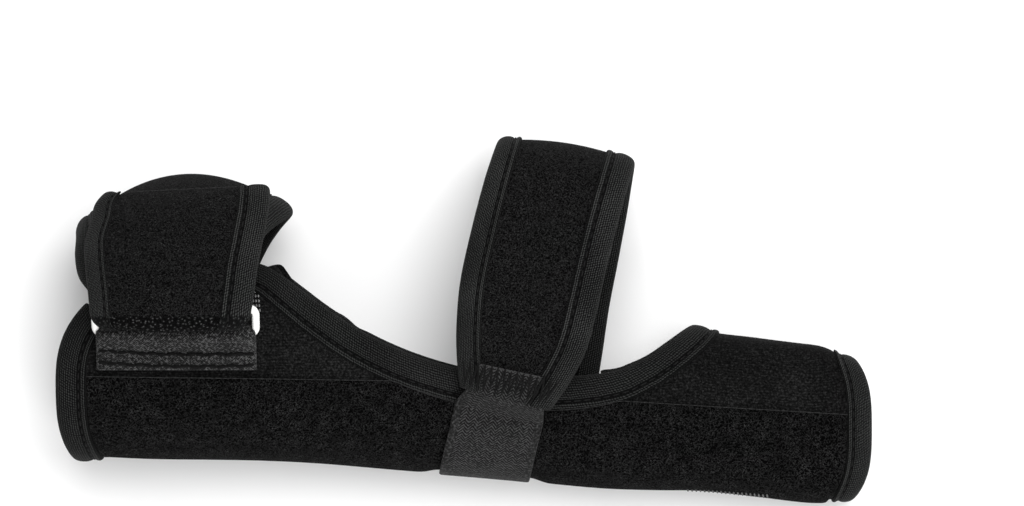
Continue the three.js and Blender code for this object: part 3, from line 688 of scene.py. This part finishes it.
def sewn(name, seams, finish, slot, pitch=STITCH_PITCH, length=STITCH_LENGTH, thread=THREAD):
    """One stitch, modelled once and set along every seam, as one piece."""
    bpy.ops.object.select_all(action="DESELECT")
    bpy.ops.mesh.primitive_uv_sphere_add(segments=8, ring_count=6, radius=0.5)
    piece = bpy.context.object
    piece.name = piece.data.name = name
    round_stitch = np.array([v.co for v in piece.data.vertices])
    sides = [tuple(f.vertices) for f in piece.data.polygons]
    points, faces = [], []
    for seam in seams:
        run = distances(seam)
        count = max(1, int(run[-1] / pitch))
        spots = (np.arange(count) + 0.5) * run[-1] / count
        centre, ahead, behind = (
            np.stack([np.interp(spots + step, run, seam[:, k]) for k in range(3)], axis=-1)
            for step in (0, 0.5, -0.5)
        )
        for middle, heading in zip(centre, unit(ahead - behind)):
            side = unit(np.cross(heading, (0, 0, 1) if abs(heading[2]) < 0.9 else (1, 0, 0)))
            axes = np.array((side * thread, np.cross(heading, side) * thread, heading * length))
            faces += [tuple(i + len(points) * len(round_stitch) for i in f) for f in sides]
            points.append(middle + round_stitch @ axes)
    piece.data.clear_geometry()
    piece.data.from_pydata(metres(np.concatenate(points)).tolist(), [], faces)
    piece.data.update()
    soften(piece)
    fit(piece, finish, slot)


def thread_finish(name, dark, light):
    finish, tree, shader = finish_named(name, 0.7, 0.06, 0.02)
    place = laid_on(tree)
    twist = noise(tree, place, 0.4, 2, 0.6)
    dress(tree, shader, ramp(tree, twist, (0.3, dark), (0.75, light)), twist, 0.1)
    return finish


black_thread = thread_finish("black_thread", 0.003, 0.014)
gutter_seams = opening_seams + thenar_seams + forearm_seams + finger_seams
sewn("gutter_stitches", gutter_seams, black_thread, "binding_tape")
# Grey thread, paler than the black, sewn in a continuous line along the strip's upper edge; its
# pale line also stands in for the highlight along that edge.
strip_thread = thread_finish("strip_thread", 0.006, 0.03)
strip_seam = strip_places[:, 0] - (0, 0, 0.1)
sewn("loop_strip_stitches", [strip_seam], strip_thread, "loop_pile", 2.4, 2.7, 0.3)

# Overcast seam
# Grey thread laid over and over across the little-finger side of the sleeve, where the end of the
# loop strip was caught down.
OVERCAST = {"start": 64, "stop": 88, "pitch": 1.2, "height": 18.8, "length": 3.2, "lift": 1.15}
OVERCAST_LEAN = np.linspace(-0.25, 0.25, 5)
overcast_legs = []
for station in np.arange(OVERCAST["start"], OVERCAST["stop"], OVERCAST["pitch"]):
    mid_turn = angle_at_height(station, OVERCAST["height"], np.pi / 2)
    reach = OVERCAST["length"] / along(FORM, 3, station)
    turns = mid_turn + np.linspace(-reach, reach, 5)
    overcast_legs.append(form(station + OVERCAST_LEAN, turns, OVERCAST["lift"]))
grey_thread = thread_finish("grey_thread", 0.03, 0.16)
sewn("overcast_stitches", overcast_legs, grey_thread, "grey_webbing", 9, OVERCAST["length"], 0.55)

# Hand strap
# A padded strap of brushed loop cloth on foam, bound along both edges. It leaves the palm edge of
# the gutter, turns up at the thumb side and comes back over the top, and ends in a hook tab.
STRAP_WALL = 2.8
STRAP_PUSH = 80.0
STRAP_SWELL = 0.9
HAND_STRAP = (  # x, y, z of its middle, half its width, heading of its width, crown of its middle
    (20.2, -13.7, 2.8, 16.7, 0, 0),
    (21.2, -4, 2.6, 17.2, -2, 0),
    (22.6, 10, 2.6, 17.8, -5, 0),
    (25, 26, 2.6, 18.4, -8, 0.2),
    (27, 38, 3.8, 18.6, -9, 0.6),
    (28.4, 47, 8.2, 18.6, -9, 1.4),
    (29, 51.6, 15.5, 18.6, -9, 2.0),
    (28.8, 51.8, 23, 18.6, -9, 2.1),
    (27.4, 47.8, 30, 18.6, -10, 1.6),
    (25, 40, 35, 18.6, -12, 0.9),
    (21.4, 26, 39, 18.6, -13, 0.5),
    (18.3, 12, 41.4, 18.5, -12, 0.3),
    (16.2, 0, 42.6, 17.4, -11, 0),
    (14.0, -9, 43.2, 15.1, -12, 0),
    (11.6, -17.3, 42.6, 11.9, -14.6, 0),
)


def strap_run(rows, first_out, pitch=TAPE_STEP):
    """Stations along a strap: its middle, half width, crown, the line across it and out of it."""
    rows = np.array(rows, float)
    key = distances(rows[:, :3])
    table = np.column_stack((key, rows))
    at = np.linspace(0, key[-1], round(key[-1] / pitch))
    middle = np.stack([along(table, k, at) for k in (1, 2, 3)], axis=-1)
    half, turn, crown = along(table, 4, at), np.radians(along(table, 5, at)), along(table, 6, at)
    across = np.stack((np.cos(turn), np.sin(turn), np.zeros_like(turn)), axis=-1)
    out = unit(np.cross(across, unit(np.gradient(middle, axis=0))))
    previous = np.array(first_out, float)
    for i in range(len(out)):
        if np.dot(out[i], previous) < 0:
            out[i] *= -1
        previous = out[i]
    lines = {"middle": middle, "across": across, "out": out}
    return {**lines, "half": half, "crown": crown, "run": distances(middle)}


def strap_places(strap, t, n):
    """Points of a strap at t across it, off its middle cloth by n; t may pass its edges."""
    half, crown = strap["half"], strap["crown"]
    held = np.clip(t, -half, half)
    rise = crown * (1 - (held / half) ** 2)
    slope = -2 * crown * held / half**2
    rise = rise + slope * (t - held)
    length = np.sqrt(1 + slope**2)
    sideways, up = t - slope / length * n, rise + n / length
    return strap["middle"] + strap["across"] * sideways[:, None] + strap["out"] * up[:, None]


def strap_panel(name, strap, columns):
    half = strap["half"]
    offs = [share * (half - SHELL_TUCK) for share in np.linspace(-1, 1, columns)]
    rows = [strap_places(strap, t, np.zeros_like(t)) for t in offs]
    places = np.array(rows).transpose(1, 0, 2)
    under_tape = [(t > half - BINDING_REACH) | (t < NARROW_REACH - half) for t in offs]
    under_tape = np.array(under_tape).T
    under_tape[:3] = under_tape[-3:] = True
    middle = len(places) // 2
    piece = cloth(name, places, (middle, columns // 2), strap["out"][middle], under_tape)
    thicken(piece, STRAP_WALL, 0.0, STRAP_PUSH, STRAP_SWELL)
    return piece


def strap_tape(name, strap, side, reach):
    """Binding tape along one edge of a strap; returns it with its length and stitch lines."""
    run = distances(strap["middle"] + strap["across"] * (side * strap["half"])[:, None])
    thinner = (WALL - STRAP_WALL) / 2
    rows = []
    for q, n in band_section(run, reach):
        rows.append(strap_places(strap, side * (strap["half"] + q), n - np.sign(n) * thinner))
    places = np.array(rows).transpose(1, 0, 2)
    middle = len(places) // 2
    piece = cloth(name, places, (middle, BAND_TOP), strap["out"][middle], across=BAND_ACROSS)
    thicken(piece, TAPE_CLOTH)
    line = side * (strap["half"] + narrowed(STITCH_LINE, reach))
    heights = [np.full_like(line, sign * (STITCH_HEIGHT - thinner)) for sign in (1, -1)]
    return piece, run[-1], [strap_places(strap, line, height) for height in heights]


def bind_strap(pad, strap, finish, *tapes):
    """Puts tapes of (name, side, reach, node name) on a strap's edges; returns stitch lines."""
    lines = []
    for name, side, reach, node_name in tapes:
        piece, length, seams = strap_tape(name, strap, side, reach)
        fit(piece, finish, "binding_tape", node_name)
        lines += seams
    return lines


def brushed_cloth(name, limit=None):
    """Brushed loop cloth on foam. limit is the y and z past which it is pulled open round the ring
    and painted as the fold's shade."""
    finish, tree, shader = finish_named(name, 1.0, 0.03, 0.015)
    place, uv = laid_on(tree), laid_on(tree, "UV")
    wool = noise(tree, place, 0.7, 2, 0.6)
    curls = ramp(tree, wool, (0.36, 0.0), (0.5, 1.0), (0.66, 0.0))
    fibres = noise(tree, place, 0.42, 4, 0.7)
    patches = noise(tree, place, 3.0, 3, 0.55)
    tone = sum_of(tree, (curls, 0.34), (fibres, 0.72), (patches, 0.08))
    relief = sum_of(tree, (curls, 0.6), (fibres, 0.7))
    if limit is not None:
        opened_shaded_tone = sum_of(tree, (open_loops(tree, uv), 0.42), (fibres, 0.92))
        # Past the limit the cloth is painted as the shade of the fold round the ring bar, with its
        # loops standing open.
        tone = mixed(tree, tone, opened_shaded_tone, pulled_open_and_shaded(tree, limit))
    colour = ramp(tree, tone, (0.44, 0.0006), (0.63, 0.0046), (0.78, 0.019), (0.93, 0.065))
    dress(tree, shader, colour, relief, 0.2)
    return finish


hand_run = strap_run(HAND_STRAP, (0, 0, -1))
hand_strap = strap_panel("hand_strap_pad", hand_run, 24)
fit(hand_strap, brushed_cloth("brushed_loop"), "strap_cloth", "hand_strap")
hand_seams = bind_strap(
    "hand_strap_pad",
    hand_run,
    binding_rib,
    ("hand_strap_wrist_tape", -1, NARROW_REACH, "hand_strap_wrist_binding"),
    ("hand_strap_finger_tape", 1, BINDING_REACH, "hand_strap_finger_binding"),
)
sewn("hand_strap_stitches", hand_seams, black_thread, "binding_tape")

# Hook tab
# Dark grey hook webbing an inch wide. Its top end lies on the end of the hand strap, sewn down with
# a broad zigzag; the rest is pressed onto the loop strip and turns down the little-finger side.
TAB_SKEW = -0.26  # rise across its top edge
TAB_FOOT = 9.0
TAB_COLUMNS = 24
WEBBING = 1.1
TAB_LIFT = 2.45
TAB_LAP = 8.6  # length of it on the strap
TAB_STEPS = 56
LAP_INSET = 0.4
LAP_GAP = 0.1
LAP_SINK = {"depth": 0.75, "before": 0.2, "run": 1.2}  # where it lies past the tape's lip
lap_rows = np.flatnonzero(hand_run["run"] > hand_run["run"][-1] - TAB_LAP)
tab_shares = np.linspace(-1, 1, TAB_COLUMNS)
tab_columns = []
for share in tab_shares:
    half = hand_run["half"]
    lap_t = share * np.minimum(TAB_HALF, half - LAP_INSET)
    lip = np.where(share > 0, half - BINDING_REACH, half - NARROW_REACH)
    sunk = LAP_SINK["depth"] * smooth((np.abs(lap_t) - lip + LAP_SINK["before"]) / LAP_SINK["run"])
    lap = strap_places(hand_run, lap_t, STRAP_WALL / 2 + WEBBING + LAP_GAP - sunk)[lap_rows]
    x_top = TAB_TOP[0] + share * TAB_HALF
    y_top = TAB_TOP[1] + share * TAB_HALF * TAB_SKEW
    start = angle_at_plan(x_top, y_top, False)
    angles = spread(x_top, start, angle_at_height(x_top, TAB_FOOT, start), 24)
    x = x_top + (form(x_top, angles)[:, 1] - y_top) * TAB_SLANT
    path = np.concatenate((lap, form(x, angles, TAB_LIFT - pressed_in(x, angles))))
    tab_columns.append(eased(path, TAB_STEPS))
tab_places = np.array(tab_columns).transpose(1, 0, 2)
hook_tab = cloth("hook_webbing_tab", tab_places, (30, 12), (0, -1, 0.5))
thicken(hook_tab, WEBBING)


WEAVE_AND_FUZZ = 1.21  # their shares together


def webbing_finish(name, pitch, edge, yarn_share, dark, middle, light):
    """Webbing woven in a zigzag, its yarns a pitch in millimetres apart, with a smoother margin
    that starts at edge metres off its middle and a pale cut end. A low yarn_share is fuzzier."""
    finish, tree, shader = finish_named(name, 0.8, 0.1, 0.03)
    uv = laid_on(tree, "UV")
    flat = node(tree, "SeparateXYZ", {"Vector": uv})
    turn_width = pitch * 1.4 / 1000
    zig = reckon(tree, "PINGPONG", flat.outputs["X"], turn_width)
    leaning = reckon(tree, "ADD", flat.outputs["Y"], zig)
    zigzag = node(tree, "CombineXYZ", {"X": flat.outputs["X"], "Y": leaning}).outputs["Vector"]
    yarns = bands(tree, zigzag, pitch, "Y", 1.2)
    fuzz = noise(tree, uv, 0.75, 3, 0.6)
    broad = noise(tree, uv, 6, 3, 0.5)
    field = rising(tree, reckon(tree, "ABSOLUTE", flat.outputs["X"]), edge + 0.0008, edge)
    cut = rising(tree, flat.outputs["Y"], 0.0009, 0.0003)
    weave = mixed(tree, 0.44, yarns, field)
    relief = sum_of(tree, (weave, 1.0), (fuzz, 0.5))
    plain = sum_of(tree, (weave, yarn_share), (fuzz, WEAVE_AND_FUZZ - yarn_share), (broad, 0.2))
    tone = sum_of(tree, (plain, 1.0), (field, -0.02), (cut, 0.2))
    dress(tree, shader, ramp(tree, tone, (0.51, dark), (0.69, middle), (0.86, light)), relief, 0.3)
    return finish


hook_webbing = webbing_finish("hook_webbing", 0.95, 0.0104, 0.27, 0.0016, 0.0075, 0.0455)
fit(hook_tab, hook_webbing, "grey_webbing", "hook_tab")

ZIGZAG = {"pitch": 0.9, "half": 12.6, "top": 8.6, "foot": 1.7, "flare": 0.1}
ZIGZAG_HEIGHT = STRAP_WALL / 2 + 1.3


def strap_spot(strap, back, t, n):
    """The point of a strap a distance back from its end, t across it and n off it."""
    whole = strap_places(strap, np.full_like(strap["half"], t), np.full_like(strap["half"], n))
    at = strap["run"][-1] - back
    return np.array([np.interp(at, strap["run"], whole[:, k]) for k in range(3)])


zigzag_legs = []
for i, t in enumerate(np.arange(-ZIGZAG["half"], ZIGZAG["half"], ZIGZAG["pitch"])):
    lean = ZIGZAG["pitch"] / 2 if i % 2 else -ZIGZAG["pitch"] / 2
    spread_out = 1 + ZIGZAG["flare"] * abs(t) / ZIGZAG["half"]
    head_back = ZIGZAG["top"] + 0.5 * math.sin(i * 2.3)
    heel_back = ZIGZAG["foot"] + 1.1 * math.sin(i * 1.7)
    head = strap_spot(hand_run, head_back, (t + lean) * spread_out, ZIGZAG_HEIGHT)
    heel = strap_spot(hand_run, heel_back, t - lean, ZIGZAG_HEIGHT)
    zigzag_legs.append(np.array((head, heel)))
zigzag_thread = thread_finish("zigzag_thread", 0.0012, 0.009)
sewn("zigzag_stitches", zigzag_legs, zigzag_thread, "binding_tape", 20, 7.4, 0.62)

# Wrist strap
# The same padded cloth, wider, from the palm edge of the forearm part round the thumb side to the
# ring, through it and doubled back over itself, with its edges bound and its middle standing out.
WRIST_STRAP = (  # as the hand strap's table
    (-82.9, 14.2, 3.1, 22.4, 13.8, 0),
    (-82, 21, 4.3, 24.3, 11, 0.4),
    (-81.2, 27, 6.8, 26.6, 8, 2.6),
    (-80.4, 31, 11, 28.2, 6, 6.6),
    (-80, 33, 17.5, 29, 5, 10.2),
    (-80, 33.4, 25, 29, 4.6, 12),
    (-81.2, 32, 33, 27.8, 4, 10.4),
    (-83, 28.8, 41, 25.6, 3, 7.4),
    (-84.4, 23.6, 47.2, 24.2, 2, 4),
    (-84.0, 17.4, 52.2, 23.2, 1, 1.4),
    (-82.4, 12.2, 54.3, 21.2, 0, 0.2),
)
WRIST_FLAP = (  # turned over, so its crown counts the other way
    (-82.1, 13, 62.6, 22, 0, -0.4),
    (-82.1, 20, 60.6, 22.9, 0.5, -0.8),
    (-81.6, 27.5, 56.8, 23.8, 1, -1),
    (-80.2, 34, 52.6, 23.6, 2, -0.8),
    (-79.7, 38.2, 49, 23.5, 2.6, -0.5),
    (-78.7, 40.9, 45.4, 22.5, 2.8, -0.2),
)
WRIST_NARROW_REACH = 4.2
RING_X = -81.2
RING_UPPER = (8.7, 58.7)  # y and z of the bar that the strap turns round
FOLD = {"x": RING_X - 1.1, "radius": 4.0, "puff": 2.4, "puff_at": 152, "half": 18.6, "wider": 2.7}
FOLD_TURN = (250, 110)  # the part of the bar that it goes round, in degrees
FOLD_WIDENS = (190, 70)  # where it starts to widen, and over how many degrees
FOLD_OPENED_SHADED = (6.6, 57)  # y and z past which its cloth is pulled open and painted darker as the fold's shade
FLAP_HEM = {"back": 0.25, "arm": -16.5, "tips": 15, "off": 0.1}
wrist_fold = []
for degrees in np.linspace(*FOLD_TURN, 7):
    turn = math.radians(degrees)
    bulge = max(0.0, math.cos(turn - math.radians(FOLD["puff_at"])))
    y = RING_UPPER[0] + FOLD["radius"] * math.cos(turn)
    z = RING_UPPER[1] + FOLD["radius"] * math.sin(turn)
    wider = float(smooth((FOLD_WIDENS[0] - degrees) / FOLD_WIDENS[1]))
    half = FOLD["half"] + FOLD["wider"] * wider
    wrist_fold.append((FOLD["x"], y, z, half, 0, -FOLD["puff"] * bulge**4))
wrist_run = strap_run(WRIST_STRAP + tuple(wrist_fold) + WRIST_FLAP, (0, 0, -1))
wrist_strap = strap_panel("wrist_strap_pad", wrist_run, 30)
fold_shade_limit = metres((0, *FOLD_OPENED_SHADED))[1:]
fit(wrist_strap, brushed_cloth("brushed_loop_opened_shaded", fold_shade_limit), "strap_cloth", "wrist_strap")
wrist_rib = rib_finish("binding_rib_opened_shaded", limit=fold_shade_limit)
wrist_seams = bind_strap(
    "wrist_strap_pad",
    wrist_run,
    wrist_rib,
    ("wrist_strap_forearm_tape", -1, WRIST_NARROW_REACH, "wrist_strap_forearm_binding"),
    ("wrist_strap_hand_tape", 1, BINDING_REACH, "wrist_strap_hand_binding"),
)
sewn("wrist_strap_stitches", wrist_seams, black_thread, "binding_tape")
# Hem stitches of the pale strip thread across the flap's end; their pale line also stands in for
# the highlight along the end's edge.
flap_hem = [
    strap_spot(wrist_run, FLAP_HEM["back"], t, -STRAP_WALL / 2 - FLAP_HEM["off"])
    for t in np.linspace(FLAP_HEM["arm"], FLAP_HEM["tips"], 40)
]
sewn("flap_end_stitches", [np.array(flap_hem)], strip_thread, "strap_cloth", 2.0, 2.3, 0.4)

# Ring
# A white moulded plastic loop, a rounded rectangle of round section. The strap turns round its
# upper bar and the tab holds its lower one.
RING_WIDTH = 47.4
RING_REACH = 7.3
RING_LOWER = 52.7
RING_WIRE = 2.2
RING_CORNER = 2.4
lean = math.atan2(RING_UPPER[1] - RING_LOWER, RING_REACH)
bpy.ops.object.select_all(action="DESELECT")
bpy.ops.mesh.primitive_plane_add(size=1)
ring = bpy.context.object
ring.name = ring.data.name = "strap_ring"
bpy.ops.object.mode_set(mode="EDIT")
bpy.ops.mesh.select_all(action="SELECT")
ring_size = ((RING_WIDTH - RING_WIRE) / 1000, RING_REACH / math.cos(lean) / 1000, 1)
bpy.ops.transform.resize(value=ring_size)
bpy.ops.mesh.delete(type="ONLY_FACE")
bpy.ops.mesh.select_all(action="SELECT")
bpy.ops.mesh.bevel(offset=RING_CORNER / 1000, segments=8, affect="VERTICES")
bpy.ops.object.mode_set(mode="OBJECT")
bpy.ops.object.convert(target="CURVE")
ring.data.bevel_depth = RING_WIRE / 2000
ring.data.bevel_resolution = 4
bpy.ops.object.convert(target="MESH")
ring.rotation_euler = (lean, 0, 0)
ring.location = metres((RING_X, RING_UPPER[0] - RING_REACH / 2, (RING_UPPER[1] + RING_LOWER) / 2))
bpy.ops.object.transform_apply(location=True, rotation=True, scale=True)
soften(ring)

ring_plastic, tree, shader = finish_named("ring_plastic", 0.34, 0.5, 0.0)
place = laid_on(tree)
flow, speck = noise(tree, place, 6, 3, 0.5), noise(tree, place, 0.5, 2, 0.5)
colour = ramp(tree, flow, (0.3, (0.83, 0.83, 0.81)), (0.7, (0.9, 0.9, 0.885)))
tree.links.new(ramp(tree, speck, (0.3, 0.28), (0.7, 0.42)), shader.inputs["Roughness"])
dress(tree, shader, colour, speck, 0.02)
fit(ring, ring_plastic, "ring_plastic", "ring")

# Ring tab
# Grey webbing folded over the ring's lower bar, both its ends sewn to the gutter with two rows of
# black thread.
RING_TAB_HALF = 22.6
RING_TAB_INSIDE = 21.2  # half its width inside the ring
RING_TAB_END = -9.0
RING_TAB_TURN = (-90, 125)  # the part of the bar that it goes round, in degrees
RING_TAB_COLUMNS = 40
RING_TAB_STEPS = 60
RING_TAB_RISE = 5.4  # how far before the bar it leaves the gutter
RING_TAB_UNDER = 0.85  # heights of its two layers off the gutter
RING_TAB_OVER = 2.25
RING_TAB_SEAMS = (-4.1, -7.5)
RING_TAB_SAG = {"lowest": -0.4, "depth": 0.75, "middle": 0.3, "waver": 0.14, "waves": 23}
RING_SLACK = 0.45
SEAM_STANDS = 0.2
bar_y, bar_z = RING_UPPER[0] - RING_REACH, RING_LOWER
bar_clear = RING_WIRE / 2 + WEBBING / 2 + RING_SLACK


def ring_tab_x(share, y):
    """x across the tab, which is drawn in where it goes through the ring."""
    inside = smooth((y - bar_y - 0.4) / 1.4)
    return RING_X + share * (RING_TAB_HALF + (RING_TAB_INSIDE - RING_TAB_HALF) * inside)


def ring_tab_ground(share, y):
    x = ring_tab_x(share, y)
    return form(x, angle_at_plan(x, y, False))[..., 2]


ring_tab_rows = []
for share in np.linspace(-1, 1, RING_TAB_COLUMNS):
    flat_y = np.linspace(RING_TAB_END, bar_y - RING_TAB_RISE, 4)
    ground = ring_tab_ground(share, flat_y)
    turn = np.radians(np.linspace(*RING_TAB_TURN, 10))
    under = np.column_stack((flat_y, ground + RING_TAB_UNDER))
    bend = np.column_stack((bar_y + bar_clear * np.cos(turn), bar_z + bar_clear * np.sin(turn)))
    over = np.column_stack((flat_y, ground + RING_TAB_OVER))[::-1]
    y, z = eased(np.concatenate((under, bend, over)), RING_TAB_STEPS).T
    ring_tab_rows.append(np.column_stack((ring_tab_x(share, y), y, z)))
ring_tab_places = np.array(ring_tab_rows).transpose(1, 0, 2)
ring_tab = cloth("ring_webbing_tab", ring_tab_places, (RING_TAB_STEPS - 6, 20), (0, 0, 1))
thicken(ring_tab, WEBBING, 0.0)
tab_webbing = webbing_finish("tab_webbing", 0.7, 0.0222, 0.12, 0.0025, 0.0155, 0.095)
fit(ring_tab, tab_webbing, "grey_webbing", "ring_tab")
ring_tab_seams = []
for seam_y in RING_TAB_SEAMS:
    shares = np.linspace(-0.97, 0.97, 60)
    waver = RING_TAB_SAG["waver"] * np.sin(shares * RING_TAB_SAG["waves"] + seam_y)
    sag = RING_TAB_SAG["depth"] * (shares - RING_TAB_SAG["middle"]) ** 2 + waver
    y = seam_y + RING_TAB_SAG["lowest"] + sag
    z = ring_tab_ground(shares, y) + RING_TAB_OVER + WEBBING / 2 + SEAM_STANDS
    ring_tab_seams.append(np.column_stack((ring_tab_x(shares, y), y, z)))
heavy_thread = thread_finish("heavy_black_thread", 0.0008, 0.0045)
sewn("ring_tab_stitches", ring_tab_seams, heavy_thread, "binding_tape", 2.6, 3.0, 1.05)
TACK_ROWS = (-60.1, -59.3, -58.5, -57.7)
TACK = {"low": 7.2, "high": 15.4, "lean": 0.1, "lift": 0.2}
tack_seams = []
for tack_x in TACK_ROWS:
    tack_y = np.linspace(TACK["low"], TACK["high"], 9)
    tack_turn = angle_at_plan(tack_x, tack_y, False)
    leaning = tack_x - TACK["lean"] * (tack_y - TACK["low"])
    tack_seams.append(form(leaning, tack_turn, TACK["lift"]))
tack_thread = thread_finish("tack_thread", 0.06, 0.26)
sewn("tack_stitches", tack_seams, tack_thread, "grey_webbing", 1.2, 0.9, 0.55)

# Table, light and camera
# A pale table under big soft lights, seen straight down from two metres above the splint.
VIEW_MIDDLE = (0.01307, 0.01930)
VIEW_HEIGHT = 0.027  # the plane on which the view's scale is taken
VIEW_WIDTH = 0.29257
CAMERA_RISE = 2.0
SENSOR = 36
bpy.ops.object.select_all(action="DESELECT")
bpy.ops.mesh.primitive_plane_add(size=6, location=(0, 0, -0.0002))
table = bpy.context.object
table.name = "table"
paint, tree, shader = finish_named("table_paint", 0.85, 0.2, 0.0)
mottle = noise(tree, laid_on(tree), 60, 3, 0.5)
dress(tree, shader, ramp(tree, mottle, (0.3, 0.9), (0.7, 0.92)), mottle, 0.02)
table.data.materials.append(paint)

for name, place, size, power in (
    ("soft_overhead", (0.2, 0.45, 1.1), 1.0, 16),
    ("soft_fill", (0.3, -0.95, 0.5), 0.9, 10),
):
    bpy.ops.object.light_add(type="AREA", location=place)
    lamp = bpy.context.object
    lamp.name = name
    lamp.data.size = size
    lamp.data.energy = power
    towards = -np.array(place)
    pitch = math.atan2(math.hypot(towards[0], towards[1]), -towards[2])
    heading = math.atan2(towards[1], towards[0]) - math.pi / 2
    lamp.rotation_euler = (pitch, 0, heading)

world = bpy.data.worlds.new("studio")
bpy.context.scene.world = world
world.use_nodes = True
world.node_tree.nodes["Background"].inputs["Color"].default_value = (1, 1, 1, 1)
world.node_tree.nodes["Background"].inputs["Strength"].default_value = 0.55

camera_place = (*VIEW_MIDDLE, VIEW_HEIGHT + CAMERA_RISE)
bpy.ops.object.camera_add(location=camera_place, rotation=(0, 0, 0))
camera = bpy.context.object
camera.data.sensor_width = SENSOR
camera.data.lens = SENSOR * CAMERA_RISE / VIEW_WIDTH
camera.data.clip_end = 10
bpy.context.scene.camera = camera
bpy.context.scene.view_settings.view_transform = "Standard"
